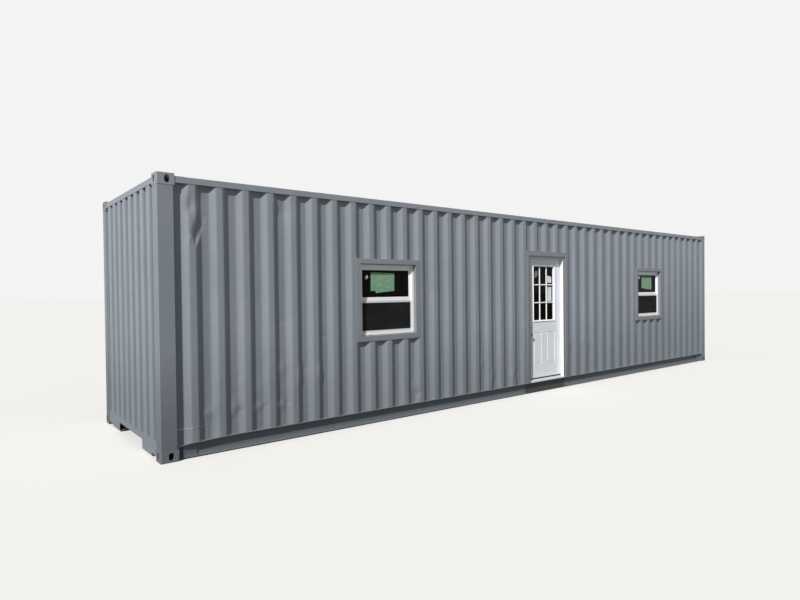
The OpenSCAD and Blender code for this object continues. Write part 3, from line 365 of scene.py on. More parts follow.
def inner_ends(low, high, inset):
    """Ends in X and in Z of a box that is smaller all round."""
    return low.x + inset, high.x - inset, low.z + inset, high.z - inset


def band(look, letter, low, high, soft=0.004):
    """1 between two places along an axis, 0 outside them."""
    place = look.axis(letter)
    return look.times(look.span(place, low - soft, low), look.span(place, high + soft, high))


def inside_fittings(look):
    """1 on the inner faces of the eight corner fittings."""
    low = band(look, "Z", FITTING_WALL, FITTING_TALL - FITTING_WALL, 0.002)
    high = band(look, "Z", FITTING_TOP - FITTING_TALL + FITTING_WALL, FITTING_TOP - FITTING_WALL, 0.002)
    hollow = look.math("MAXIMUM", low, high)
    for letter, outer, inner in (("X", -FRONT, FITTING_LONG), ("Y", -ENTRY_SIDE, FITTING_CROSS)):
        place = look.math("ABSOLUTE", look.axis(letter), 0.0)
        hollow = look.times(hollow, look.span(place, outer - FITTING_SKIN[0], outer - FITTING_SKIN[1]))
        hollow = look.times(hollow, look.span(place, *inner))
    return hollow


def container_paint(name, base=PAINT, painted_web_shade=False, hollow_shade=False, folds=None, foot=0.0):
    """Grey container paint: clouds, run-off streaks, dust near the ground, darker towards the bottom and
    lighter towards the top, and a few rust specks. If asked, it is darker still towards the foot, and it
    takes painted shade in the folds and towards the far end, in the fittings' hollows and in the rail's web,
    with a near-black band below the doorway.
    """
    look = Look(name)
    worn, dark = [tuple(c * b / p for c, b, p in zip(tone, base, PAINT)) for tone in (PAINT_WORN, PAINT_DARK)]
    colour = look.mix(look.patches(1.4, 0.30, 0.72, detail=3), base, worn)
    colour = look.mix(look.patches(7.0, 0.52, 0.80, 0.35, stretch=(1, 1, 0.05)), colour, dark)
    dust = look.times(look.height(1.10, 0.15), look.patches(5.0, 0.25, 0.75, 0.55, stretch=(1, 1, 0.5)))
    colour = look.mix(dust, colour, DUST)
    # Darker towards the bottom and lighter towards the top.
    colour = look.mix(look.height(1.50, 0.20, 0.62), colour, dark)
    colour = look.mix(look.height(1.60, 2.70, 0.45), colour, worn)
    scuffs = look.times(look.patches(30.0, 0.66, 0.72, stretch=(0.3, 0.3, 1)), 0.25)
    colour = look.mix(scuffs, colour, dark)
    specks = look.times(look.patches(55.0, 0.73, 0.76, detail=2), look.patches(3.0, 0.52, 0.62))
    colour = look.mix(look.times(specks, 0.6), colour, RUST)
    # If asked, darker still towards the foot.
    if foot:
        colour = look.mix(look.height(1.30, 0.10, foot), colour, shaded(base, 0.45))
    # Painted shade: the folds' inner faces are darker the deeper they lie.
    if folds:
        letter, outer, inner, share = folds
        depth = look.math("ABSOLUTE", look.axis(letter), 0.0)
        colour = look.mix(look.span(depth, outer, inner, share), colour, shaded(base, 0.55))
        # Painted shade: darker towards the far end and towards the bottom.
        far_end_shade = look.times(look.span(look.axis("X"), 0.5, 4.5), look.height(2.7, 0.6, 0.60))
        colour = look.mix(far_end_shade, colour, dark)
    # Painted shade: the inner faces of the fittings' hollows are near black.
    if hollow_shade:
        colour = look.mix(look.times(inside_fittings(look), 0.97), colour, (0.012, 0.011, 0.010, 1))
    # Painted shade: the rail's web below the lip is darker.
    if painted_web_shade:
        web = look.times(band(look, "Z", 0.060, 0.150, 0.02), 0.55)
        colour = look.mix(web, colour, shaded(base, 0.45))
        # A near-black band on the rail's web below the doorway.
        under_door = look.times(band(look, "X", -0.398, 0.640, 0.03), band(look, "Y", -1.30, -1.10))
        under_door = look.times(under_door, look.height(0.168, 0.150))
        colour = look.mix(look.times(under_door, 0.85), colour, UNDER_DOOR_BLACK)
    look.bump([(look.noise(420.0, detail=2), 0.00025), (look.noise(6.0, detail=2), 0.004)])
    return look.finish(colour, look.uneven(0.45, 11.0, 0.18), specular=0.55)


def white_paint(name, grey_front=False):
    """Satin white of the door: a faint brushed film and dust near the foot."""
    look = Look(name)
    colour = look.mix(look.patches(2.0, 0.3, 0.75), WHITE, shaded(WHITE, 0.96))
    grime = look.times(look.height(0.55, 0.20), look.patches(14.0, 0.35, 0.8, 0.45, stretch=(1, 1, 0.4)))
    colour = look.mix(grime, colour, WHITE_DULL)
    if grey_front:
        colour = look.mix(look.span(look.axis("Y"), FRAME_GREY + 0.001, FRAME_GREY), colour, FRAME_PAINT)
    look.bump([(look.noise(300.0, stretch=(1, 1, 0.15), detail=2), 0.0002), (look.noise(5.0), 0.0006)])
    return look.finish(colour, look.uneven(0.30, 20.0, 0.12), specular=0.7)


def white_vinyl(name):
    look = Look(name)
    colour = look.mix(look.patches(18.0, 0.45, 0.85, 0.4, stretch=(1, 1, 0.3)), VINYL, VINYL_DULL)
    look.bump([(look.noise(250.0, detail=2), 0.0001)])
    return look.finish(colour, look.uneven(0.24, 30.0, 0.15), specular=1.0)


def pane(name, alpha):
    """Sealed glass over a dark room, coloured near black as painted shade of the room behind it, with a thin
    uneven film of dust.
    """
    look = Look(name)
    film = look.patches(6.0, 0.45, 0.9, 0.30, stretch=(1, 1, 0.6))
    colour = look.mix(film, (0.002, 0.002, 0.002, 1), (0.012, 0.013, 0.012, 1))
    look.inputs["Alpha"].default_value = alpha
    return look.finish(colour, look.math("ADD", look.patches(9.0, 0.4, 0.8, 0.05), 0.02), specular=0.06)


def screen_mesh(name):
    """Fine dark weave of the insect screens inside their white bars."""
    look = Look(name)
    cloths = []
    for number in (1, 2):
        x0, x1, z0, z1 = inner_ends(*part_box(f"window_{number}_screen"), SCREEN_BAR)
        cloths.append(look.times(band(look, "X", x0, x1, 0.0003), band(look, "Z", z0, z1, 0.0003)))
    cloth = look.math("MAXIMUM", *cloths)
    slack = look.patches(3.5, 0.35, 0.75, stretch=(1, 1, 2.2))
    colour = look.mix(slack, (0.010, 0.010, 0.010, 1), (0.020, 0.020, 0.019, 1))
    colour = look.mix(cloth, SCREEN_WHITE, colour)
    look.bump([(look.times(look.noise(900.0, detail=0), cloth), 0.0004)])
    feed(look.tree, look.math("SUBTRACT", 1.0, look.times(cloth, 0.14)), look.inputs["Alpha"])
    return look.finish(colour, look.math("ADD", look.times(cloth, 0.35), 0.40), specular=0.15)


def bare_metal(name, colour, rough, grain=(1, 1, 0.04), tarnish=0.5, metallic=0.9):
    """Brushed or galvanised metal with tarnish in patches."""
    look = Look(name)
    shade = look.mix(look.patches(16.0, 0.40, 0.85, tarnish), colour, shaded(colour, 0.6))
    look.bump([(look.noise(220.0, stretch=grain, detail=2), 0.0002)])
    return look.finish(shade, look.uneven(rough, 40.0, 0.18, stretch=grain), metallic=metallic)


def galvanised(name):
    look = Look(name)
    cells = look.add("TexVoronoi", {"Scale": 70.0, "Vector": look.where}, "Color")
    shade = look.mix(look.span(cells, 0.0, 1.0), (0.36, 0.38, 0.40, 1), (0.52, 0.54, 0.55, 1))
    rusty = look.times(look.patches(9.0, 0.58, 0.75), look.patches(60.0, 0.45, 0.7, 0.6))
    shade = look.mix(rusty, shade, RUST)
    look.bump([(look.noise(90.0), 0.0003)])
    return look.finish(shade, look.patches(25.0, 0.2, 0.8, 0.55), metallic=0.7)


def floor_wood(name):
    """Oiled plywood boards laid across the floor, with grain, seams and wear."""
    look = Look(name)
    boards = look.tree.nodes.new("ShaderNodeTexBrick")
    values = {
        "Scale": 1.0, "Brick Width": 1.22, "Row Height": 0.584, "Mortar Size": 0.0025, "Mortar Smooth": 0.2,
        "Color1": (0.20, 0.115, 0.062, 1), "Color2": (0.26, 0.155, 0.085, 1),
        "Mortar": (0.020, 0.014, 0.010, 1), "Vector": look.where}
    for key, value in values.items():
        feed(look.tree, value, boards.inputs[key])
    grain = look.patches(14.0, 0.3, 0.75, 0.55, stretch=(0.35, 6, 1), detail=6)
    colour = look.mix(grain, boards.outputs["Color"], (0.10, 0.058, 0.032, 1))
    colour = look.mix(look.patches(1.8, 0.5, 0.85, 0.45), colour, (0.19, 0.16, 0.13, 1))
    look.bump([(boards.outputs["Fac"], -0.002), (grain, 0.0004)])
    return look.finish(colour, look.uneven(0.5, 8.0, 0.2))


def two_tone(name, patches, first, second, relief, rough, specular=0.5, rusty=False):
    """Two colours in patches (scale, low, high), with a relief (scale, depth), and with rust if asked."""
    look = Look(name)
    colour = look.mix(look.patches(*patches), first, second)
    if rusty:
        colour = look.mix(look.times(look.patches(12.0, 0.55, 0.72), 0.7), colour, RUST)
    look.bump([(look.noise(relief[0]), relief[1])])
    return look.finish(colour, rough, specular=specular)


def film_sheet(name, colour, edge):
    """Thin plain sheet with soft creases."""
    look = Look(name)
    crease = look.noise(16.0, stretch=(1, 1, 1.6))
    shade = look.mix(look.span(crease, 0.35, 0.75, 0.6), colour, edge)
    shade = look.mix(look.patches(130.0, 0.45, 0.75, 0.25, stretch=(2.2, 1, 0.4)), shade, edge)
    look.bump([(crease, 0.003)])
    return look.finish(shade, 0.45, specular=0.3)


LOOKS = {
    "container_paint": container_paint("Container_paint"),
    "wall_paint": container_paint("Wall_paint", folds=("Y", 1.207, 1.178, 0.22)),
    "end_paint": container_paint("End_paint", folds=("X", 6.085, 6.055, 0.42)),
    "fitting_paint": container_paint("Fitting_paint", hollow_shade=True, foot=0.65),
    "post_paint": container_paint("Post_paint", POST_PAINT, foot=0.55),
    "rail_paint": container_paint("Rail_paint", RAIL_PAINT, painted_web_shade=True),
    "surround_paint": container_paint("Surround_paint", SURROUND_PAINT),
    "underframe_paint": two_tone(
        "Underframe_paint", (4.0, 0.35, 0.7), (0.030, 0.031, 0.033, 1), (0.060, 0.058, 0.055, 1),
        (60.0, 0.0008), 0.78, 0.25, rusty=True),
    "floor_wood": floor_wood("Floor_boards"),
    "seal_rubber": two_tone(
        "Seal_rubber", (25.0, 0.4, 0.8), (0.012, 0.012, 0.012, 1), (0.035, 0.034, 0.032, 1),
        (180.0, 0.0003), 0.8, 0.3),
    "galvanised_steel": galvanised("Galvanised_steel"),
    "white_paint": white_paint("Door_white"),
    "frame_paint": white_paint("Frame_white", grey_front=True),
    "white_vinyl": white_vinyl("White_vinyl"),
    "window_glass": pane("Window_glass", 0.80),
    "screen_mesh": screen_mesh("Screen_mesh"),
    "screen_frame": white_vinyl("Screen_frame"),
    "threshold_aluminium": bare_metal(
        "Threshold_aluminium", (0.74, 0.75, 0.76, 1), 0.42, grain=(0.04, 1, 1), tarnish=0.2, metallic=0.25),
    "hinge_steel": bare_metal("Hinge_steel", (0.50, 0.50, 0.50, 1), 0.28),
    "lock_metal": bare_metal("Lock_metal", (0.055, 0.052, 0.052, 1), 0.42, grain=(1, 1, 1), tarnish=0.3),
    "knob_metal": bare_metal("Knob_metal", (0.22, 0.22, 0.24, 1), 0.34, grain=(1, 1, 1), tarnish=0.3),
    "bare_weld": bare_metal("Bare_weld", (0.42, 0.45, 0.48, 1), 0.40, grain=(1, 1, 1), tarnish=0.7),
    "sealant": two_tone(
        "Sealant", (30.0, 0.3, 0.8), (0.55, 0.56, 0.57, 1), (0.40, 0.41, 0.42, 1), (120.0, 0.0006), 0.6),
    "green_sheet": film_sheet("Green_sheet", (0.16, 0.33, 0.19, 1), (0.32, 0.45, 0.35, 1)),
    "white_sheet": film_sheet("White_sheet", (0.86, 0.87, 0.88, 1), (0.62, 0.64, 0.66, 1)),
    "grey_sheet": film_sheet("Grey_sheet", (0.20, 0.24, 0.23, 1), (0.08, 0.09, 0.09, 1)),
}


def new_object(name, data):
    made = bpy.data.objects.new(name, data)
    bpy.context.scene.collection.objects.link(made)
    return made


def new_piece(name, shape, look, slot=None, body="cabin", smooth=30):
    """Makes a piece of a shape, with a look, riding on a body. Its slot is not used."""
    mesh = bpy.data.meshes.new(name)
    shape.to_mesh(mesh)
    shape.free()
    piece = new_object(name, mesh)
    for face in mesh.polygons:
        face.use_smooth = True
    mesh.set_sharp_from_angle(angle=math.radians(smooth))
    mesh.materials.append(LOOKS[look])
    slot = slot or look
    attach(piece, body)
    return piece


def add_block(shape, low, high, edge=0.0, steps=2):
    """Adds a box between two corners, its edges rounded."""
    size = Vector(high) - Vector(low)
    middle = (Vector(high) + Vector(low)) / 2
    place = Matrix.Translation(middle) @ Matrix.Diagonal((*size, 1))
    grown = bmesh.ops.create_cube(shape, size=1.0, matrix=place)
    if edge > 0:
        edges = list(dict.fromkeys(e for v in grown["verts"] for e in v.link_edges))
        bmesh.ops.bevel(shape, geom=edges, offset=edge, segments=steps, affect="EDGES", profile=0.5)


def add_blocks(shape, at, rows):
    """Adds boxes round a point. A row holds a box's ends in X, Y and Z from there, and its rounding."""
    for x0, x1, y0, y1, z0, z1, edge in rows:
        add_block(shape, (at[0] + x0, at[1] + y0, at[2] + z0), (at[0] + x1, at[1] + y1, at[2] + z1), edge)


def bridge(shape, loops):
    """Faces between each loop of points and the next."""
    for one, two in zip(loops, loops[1:]):
        for k in range(len(one)):
            after = (k + 1) % len(one)
            shape.faces.new((one[k], one[after], two[after], two[k]))


def add_prism(shape, section, first, last):
    """Solid between two ends. section holds pairs, first and last turn a pair to a point."""
    ends = [[shape.verts.new(put(*pair)) for pair in section] for put in (first, last)]
    for end in ends:
        shape.faces.new(end)
    bridge(shape, ends)


def rectangle(x0, x1, z0, z1, y):
    """Corners from the lower left one over the lower right one."""
    return [(x0, y, z0), (x1, y, z0), (x1, y, z1), (x0, y, z1)]


def add_mitred_ring(shape, low, high, profile):
    """Closed ring round a rectangle in X and Z. profile holds (inset, y) pairs."""
    loops = []
    for inset, y in profile:
        corners = rectangle(*inner_ends(low, high, inset), y)
        loops.append([shape.verts.new(c) for c in corners])
    bridge(shape, loops + loops[:1])


def turns(sides):
    return [2 * math.pi * k / sides for k in range(sides)]


def add_tube(shape, points, radius, sides=6, closed=False, wobble=0.0):
    """Adds a tube along points, its thickness uneven by the share wobble."""
    rings = []
    count = len(points)
    for i, point in enumerate(points):
        before = points[i - 1] if i > 0 or closed else point
        after = points[(i + 1) % count] if i < count - 1 or closed else point
        way = (Vector(after) - Vector(before)).normalized()
        side = way.cross(Vector((0.31, 0.52, 0.79))).normalized()
        up = way.cross(side)
        r = radius * (1 + wobble * noise.noise(Vector(point) * BEAD_LUMPS))
        ring = [Vector(point) + side * r * math.cos(a) + up * r * math.sin(a) for a in turns(sides)]
        rings.append([shape.verts.new(p) for p in ring])
    bridge(shape, rings + rings[:1] if closed else rings)
    if not closed:
        shape.faces.new(rings[0])
        shape.faces.new(rings[-1])


def add_disc_head(shape, centre, way, radius, height, sides=12):
    """Adds a low domed screw or rivet head that stands on a face."""
    turn = Vector((0, 0, 1)).rotation_difference(Vector(way)).to_matrix().to_4x4()
    rows = []
    for share, rise in ((1.0, 0.0), (0.92, 0.55), (0.60, 0.90)):
        r = radius * share
        row = [Vector((r * math.cos(a), r * math.sin(a), height * rise)) for a in turns(sides)]
        rows.append([shape.verts.new(Vector(centre) + turn @ at) for at in row])
    top = shape.verts.new(Vector(centre) + turn @ Vector((0, 0, height)))
    bridge(shape, rows)
    for k in range(sides):
        shape.faces.new((rows[-1][k], rows[-1][(k + 1) % sides], top))
    shape.faces.new(list(reversed(rows[0])))


def smooth_step(value):
    t = min(max(value, 0.0), 1.0)
    return t * t * (3 - 2 * t)


def level(line, place):
    """Depth of a line of (place, depth) points at a place. Beyond its ends it stays level."""
    if place <= line[0][0]:
        return line[0][1]
    for first, second in zip(line, line[1:]):
        if first[0] <= place <= second[0]:
            span = second[0] - first[0]
            share = (place - first[0]) / span if span > 1e-9 else 0.0
            return first[1] + (second[1] - first[1]) * share
    return line[-1][1]


def fold_profile(a, b, sheet):
    """Face of a folded sheet between a and b, with its folds rounded, as (place, depth)."""
    start, (outer, inner, slope, depth), drift = sheet
    pitch = outer + inner + 2 * slope
    corners = []
    for k in range(math.floor((a - start) / pitch) - 2, math.ceil((b - start) / pitch) + 2):
        s = start + k * pitch + level(drift, k)
        top = s + slope + outer
        corners += [Vector(c) for c in ((s, depth), (s + slope, 0.0), (top, 0.0), (top + slope, depth))]
    line = []
    reach = min(FOLD_ROUND, max(slope, 0.012) * 0.45)
    for before, corner, after in zip(corners, corners[1:], corners[2:]):
        enter = corner + (before - corner).normalized() * reach
        leave = corner + (after - corner).normalized() * reach
        for i in range(FOLD_STEPS + 1):
            t = i / FOLD_STEPS
            line.append(enter * (1 - t) ** 2 + corner * 2 * t * (1 - t) + leave * t ** 2)
    inside = [(p.x, p.y) for p in line if a < p.x < b]
    return [(a, level(line, a))] + inside + [(b, level(line, b))]


def with_extra(needed, extra, gap):
    """The needed values with those extra ones that keep a gap to their neighbours."""
    values = sorted(set(needed))
    for value in sorted(extra):
        i = bisect_left(values, value)
        near = values[max(i - 1, 0):i + 1]
        if all(abs(value - other) >= gap for other in near):
            values.insert(i, value)
    return values


def crush_push(place, height):
    """How far the crushed rib is pushed in at a place and a height."""
    x = (place - DENT_AT[0]) / (DENT_SIZE[0] * (DENT_STRETCH if place > DENT_AT[0] else 1.0))
    z = (height - DENT_AT[1]) / DENT_SIZE[1]
    lumps = noise.noise(Vector((place * LUMPS_PER_METRE[0], height * LUMPS_PER_METRE[1], LUMPS_START)))
    push = math.exp(-x * x - z * z) * (DENT_DEPTH + DENT_LUMPS * lumps)
    above = height - CREASE_TIP[1]
    if 0 < above < CREASE_TALL:
        side = place - CREASE_TIP[0] - CREASE_LEAN * above
        wide = CREASE_LEFT_EDGE + CREASE_LEFT_OPENS * min(above, CREASE_LEFT_TALL)
        if side > 0:
            wide = CREASE_EDGE + CREASE_OPENS * above
        fall = smooth_step((CREASE_TALL - above) / (CREASE_TALL - CREASE_DEEPEST))
        deep = CREASE_DEPTH * min(above / CREASE_DEEPEST, 1.0) * fall
        push += deep * max(1 - abs(side) / wide, 0.0)
    return push


def entry_push(place, height):
    """How far the entry wall is pushed in at a place from the blind end and a height."""
    push = 0.0
    for at, up, wide, tall, depth in BUMPS:
        x = (place - at) / wide
        z = (height - up) / tall
        if abs(x) < BUMP_REACH and abs(z) < BUMP_REACH:
            push += depth * math.exp(-x * x - z * z)
    if place < PLATE_TO:
        push += crush_push(place, height)
        if height < PLATE_TOP:
            push -= PLATE_THICK
    return push


def sheet_grid(profile, heights, hole, pushed):
    """Columns and rows of a folded sheet, closer together where it is dented."""
    places = [p for p, _ in profile]
    levels = list(heights)
    if hole:
        places += hole[:2]
        levels += hole[2:]
    first, last = min(places), max(places)
    across, up = [], []
    if pushed:
        steps = range(-BUMP_STEPS, BUMP_STEPS + 1)
        for at, high, wide, tall, _ in BUMPS:
            across += [at + wide * BUMP_REACH * k / BUMP_STEPS for k in steps]
            up += [high + tall * BUMP_REACH * k / BUMP_STEPS for k in steps]
        if first < PLATE_TO:
            places += [PLATE_TO - PLATE_EDGE, PLATE_TO + PLATE_EDGE]
            levels += [PLATE_TOP - PLATE_EDGE, PLATE_TOP + PLATE_EDGE]
    columns = with_extra(places, [p for p in across if first < p < last], GRID_GAPS[0])
    rows = with_extra(levels, [h for h in up if heights[0] < h < heights[-1]], GRID_GAPS[1])
    if pushed and first < CREASE_TIP[0]:
        columns = with_extra(columns, CLOSE_COLUMNS, CLOSE_GAPS[0])
        rows = with_extra(rows, CLOSE_ROWS, CLOSE_GAPS[1])
    return columns, rows


def folded_sheet(name, ends, sheet, heights, put, look="wall_paint", hole=None, flip=False, push=None):
    """Closed thin folded sheet between two ends, with a hole (from, to, low, high) if one is given.
    put turns (place, depth, height) to a point, and push says how far the sheet is dented there."""
    profile = fold_profile(*ends, sheet)
    columns, rows = sheet_grid(profile, heights, hole, bool(push))
    shape = bmesh.new()
    grid = []
    for place in columns:
        depth = level(profile, place)
        depths = [max(depth + (push(place, height) if push else 0.0), -FACE_ROOM) for height in rows]
        grid.append([shape.verts.new(put(place, d, height)) for d, height in zip(depths, rows)])
    for i in range(len(columns) - 1):
        for j in range(len(rows) - 1):
            middle = ((columns[i] + columns[i + 1]) / 2, (rows[j] + rows[j + 1]) / 2)
            if hole and hole[0] < middle[0] < hole[1] and hole[2] < middle[1] < hole[3]:
                continue
            corners = [grid[i][j], grid[i + 1][j], grid[i + 1][j + 1], grid[i][j + 1]]
            shape.faces.new(corners[::-1] if flip else corners)
    loose = [v for v in shape.verts if not v.link_faces]
    bmesh.ops.delete(shape, geom=loose, context="VERTS")
    shape.normal_update()
    piece = new_piece(name, shape, look, "container_paint")
    thick = piece.modifiers.new("thick", "SOLIDIFY")
    thick.thickness = SHEET
    thick.offset = -1
    bpy.context.view_layer.update()
    done = bpy.data.meshes.new_from_object(piece.evaluated_get(bpy.context.evaluated_depsgraph_get()))
    piece.modifiers.clear()
    piece.data = done
    done.set_sharp_from_angle(angle=FOLD_SHARP)
    return piece


def lip_dip(place):
    """How far the bottom rail's flange is bent down at a place."""
    return level(LIP_DIPS, place)


def entry_put(place, depth, height):
    """Point of the entry wall. Its foot follows the dented lip of the rail."""
    if height < RAIL_TOP + LIP_HOLD:
        height -= lip_dip(place)
    return Vector((FRONT + place, ENTRY_SIDE + SIDE_SETBACK + depth, height))


def far_put(place, depth, height):
    return Vector((FRONT + place, -ENTRY_SIDE - SIDE_SETBACK - depth, height))


def front_put(place, depth, height):
    return Vector((FRONT + END_SETBACK + depth, ENTRY_SIDE + place, height))


def opening(node):
    """A node's ends along the wall and its lower and upper edge, as (from, to, low, high)."""
    low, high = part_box(node)
    return (low.x - FRONT, high.x - FRONT, low.z, high.z)


def make_walls():
    """Folded walls with rounded folds, and the bumps that the entry wall has taken."""
    door_from, door_to, _, door_top = opening("entry_surround")
    start, _, *heights = opening("entry_wall_left")
    end = opening("entry_wall_right")[1]
    left = folded_sheet(
        "entry_sheet_left", (start, door_from), SIDE, heights, entry_put,
        hole=opening("window_1_surround"), push=entry_push)
    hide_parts("entry_wall_left")
    above = [door_top, heights[1]]
    over = folded_sheet("entry_sheet_over_door", (door_from, door_to), SIDE, above, entry_put)
    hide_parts("entry_wall_over_door")
    right = folded_sheet(
        "entry_sheet_right", (door_to, end), SIDE, heights, entry_put,
        hole=opening("window_2_surround"), push=entry_push)
    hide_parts("entry_wall_right")
    far = folded_sheet("far_sheet", (start, end), SIDE, heights, far_put, flip=True)
    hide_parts("far_wall")
    low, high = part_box("front_wall")
    across = (low.y - ENTRY_SIDE, high.y - ENTRY_SIDE)
    front = folded_sheet("front_sheet", across, END, [low.z, high.z], front_put, look="end_paint", flip=True)
    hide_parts("front_wall")


def rail_section(dip):
    """Section of the bottom rail as (depth, height) pairs, its top flange bent down by a dip."""
    top, web, foot = RAIL_TOP, RAIL_IN - RAIL_PLATE, RAIL_LOW + RAIL_PLATE
    return [
        (RAIL_IN, RAIL_LOW), (RAIL_IN, top), (web, top), (web - RAIL_BEND, top - dip), (RAIL_LIP, top - dip),
        (RAIL_LIP, top - RAIL_PLATE - dip), (web, top - RAIL_PLATE - dip),
        (web, foot), (RAIL_FOOT, foot), (RAIL_FOOT, RAIL_LOW)]


def make_bottom_rails():
    """Long bottom rails: open channels with a plate in each end, and the dented lip near the front corner."""
    low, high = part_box("bottom_side_rails")
    start, end = low.x - FRONT, high.x - FRONT
    near, far = RAIL_END
    plate = [near, far, (far[0], far[1] + RAIL_PLATE), (near[0], near[1] + RAIL_PLATE)]
    shape = bmesh.new()
    for side in (-1, 1):
        def put(place, depth, height):
            return (FRONT + place, side * (high.y + RAIL_LIP - depth), height)

        loops = []
        for place in [start] + [p for p, _ in LIP_DIPS[1:]] + [end]:
            section = rail_section(lip_dip(place) if side < 0 else 0.0)
            loops.append([shape.verts.new(put(place, d, z)) for d, z in section])
        shape.faces.new(loops[0])
        shape.faces.new(loops[-1])
        bridge(shape, loops)
        mirrored = [(start + end - a, d) for a, d in plate]
        for corners, dip in ((plate, LIP_DIPS[0][1] if side < 0 else 0.0), (mirrored, 0.0)):
            top = RAIL_TOP - RAIL_PLATE - dip
            add_prism(shape, corners, lambda a, d: put(a, d, RAIL_LOW), lambda a, d: put(a, d, top))
    rails = new_piece("bottom_rails", shape, "rail_paint", "container_paint", smooth=20)
    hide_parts("bottom_side_rails")


make_walls()
make_bottom_rails()

# CAD nodes that stay: the look of each record slot
OTHER_LOOKS = {
    "entry_frame": "frame_paint",
    "front_posts": "post_paint",
    "bottom_fittings": "fitting_paint",
    "top_fittings": "fitting_paint",
    "door_knob": "knob_metal",
}
SLOTS = {part["node"]: part["material_slot"] for part in frame["record"]["subparts"]}
for name, node in frame["nodes"].items():
    node.data.materials.clear()
    node.data.materials.append(LOOKS[OTHER_LOOKS.get(name, SLOTS[name])])


def sheet_path(a, b, profile, height, put, push=None, off=0.0):
    """Points along the face of a folded sheet at one height."""
    path = []
    for place in [a] + [p for p, _ in profile if a < p < b] + [b]:
        moved = level(profile, place) + (push(place, height) if push else 0.0)
        path.append(put(place, max(moved, -FACE_ROOM) - off, height))
    return path


def straight(first, last, count):
    return [Vector(first).lerp(Vector(last), i / count) for i in range(count + 1)]


def around(points, counts):
    """Straight runs from point to point, each cut into its count of steps, in one line."""
    path = []
    for first, last, count in zip(points, points[1:], counts):
        path[-1:] = straight(first, last, count)
    return path


def upright(profile, place, bottom, top, put, step):
    """Line up a sheet's edge, in steps of about the given length."""
    depth = level(profile, place)
    return straight(put(place, depth, bottom), put(place, depth, top), int((top - bottom) / step))


def make_wall_welds():
    """Weld beads where the folded sheets meet the rails, the surrounds and the posts."""
    shape = bmesh.new()

    def bead(path, radius):
        add_tube(shape, path, radius, sides=5, wobble=BEAD_UNEVEN)

    start, end = opening("far_wall")[:2]
    profile = fold_profile(start, end, SIDE)
    door_from, door_to, _, door_top = opening("entry_surround")
    for a, b in ((start, door_from), (door_to, end)):
        bead(sheet_path(a, b, profile, RAIL_TOP, entry_put, entry_push), RAIL_BEAD)
        bead(sheet_path(a, b, profile, WALL_TOP, entry_put, entry_push), EDGE_BEAD)
    bead(sheet_path(door_from, door_to, profile, WALL_TOP, entry_put), EDGE_BEAD)
    for height in (RAIL_TOP, WALL_TOP):
        bead(sheet_path(start, end, profile, height, far_put), RAIL_BEAD)
    doorway = (door_from, door_to, RAIL_TOP, door_top)
    for a, b, bottom, top in (doorway, opening("window_1_surround"), opening("window_2_surround")):
        paths = [sheet_path(a, b, profile, top, entry_put, off=-0.001)]
        if bottom > RAIL_TOP:
            paths.append(sheet_path(a, b, profile, bottom, entry_put, off=-0.001))
        paths += [upright(profile, place, bottom, top, entry_put, 0.02) for place in (a, b)]
        for path in paths:
            add_tube(shape, path, OPENING_BEAD, wobble=0.45)
    low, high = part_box("front_wall")
    a, b = low.y - ENTRY_SIDE, high.y - ENTRY_SIDE
    front = fold_profile(a, b, END)
    for height in (low.z, high.z):
        bead(sheet_path(a, b, front, height, front_put), RAIL_BEAD)
    for place in (a, b):
        bead(upright(front, place, low.z, high.z, front_put, 0.03), EDGE_BEAD)
    new_piece("wall_welds", shape, "rail_paint", "container_paint", smooth=60)


def make_frame_welds():
    """Beads round the castings' ends of the posts and at the ends of the rails."""
    shape = bmesh.new()
    for end, posts, deep in ((-1, "front_posts", 0.095), (1, "rear_posts", 0.060)):
        post_low, post_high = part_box(posts)
        for side in (-1, 1):
            x, y = end * POST_FACES[0], side * POST_FACES[1]
            for z in (post_low.z, post_high.z):
                along = [(x - end * 0.150 + end * 0.14 * k / 12, y, z) for k in range(13)]
                across = [(x, y - side * (0.010 + deep * k / 8), z) for k in range(9)]
                add_tube(shape, along + across, POST_BEAD, wobble=BEAD_UNEVEN)
            for node in ("bottom_side_rails", "top_side_rails"):
                low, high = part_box(node)
                place = low.x if end < 0 else high.x
                y = side * (-low.y - 0.001)
                bottom = max(low.z, post_low.z) if node == "bottom_side_rails" else low.z
                line = straight((place, y, bottom + 0.004), (place, y, high.z - 0.004), 10)
                add_tube(shape, line, POST_BEAD, wobble=BEAD_UNEVEN)
    new_piece("frame_welds", shape, "rail_paint", "container_paint", smooth=60)


def make_patch_weld():
    """Bead round the repair plate at the foot of the first folds."""
    shape = bmesh.new()
    start = opening("entry_wall_left")[0]
    profile = fold_profile(start, PLATE_TO + 0.1, SIDE)
    top = sheet_path(start + 0.012, PLATE_TO, profile, PLATE_TOP, entry_put, entry_push)
    for i, point in enumerate(top):
        point.z += 0.004 * math.sin(i * 1.7)
    depth = level(profile, PLATE_TO)
    foot = entry_put(PLATE_TO, depth, RAIL_TOP + LIP_HOLD)
    side = straight(entry_put(PLATE_TO, depth, PLATE_TOP), foot, 9)
    add_tube(shape, top + side[1:], PLATE_BEAD, wobble=0.4)
    new_piece("patch_weld", shape, "bare_weld", "galvanised_steel", smooth=60)


def make_roof_welds():
    """Beads along the roof's edges."""
    shape = bmesh.new()
    low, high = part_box("roof")
    z = low.z + 0.0015
    for edge in (low.y + 0.003, high.y - 0.003):
        path = straight((low.x, edge, z), (high.x, edge, z), 300)
        add_tube(shape, path, EDGE_BEAD, sides=5, wobble=BEAD_UNEVEN)
    new_piece("roof_welds", shape, "container_paint", smooth=60)


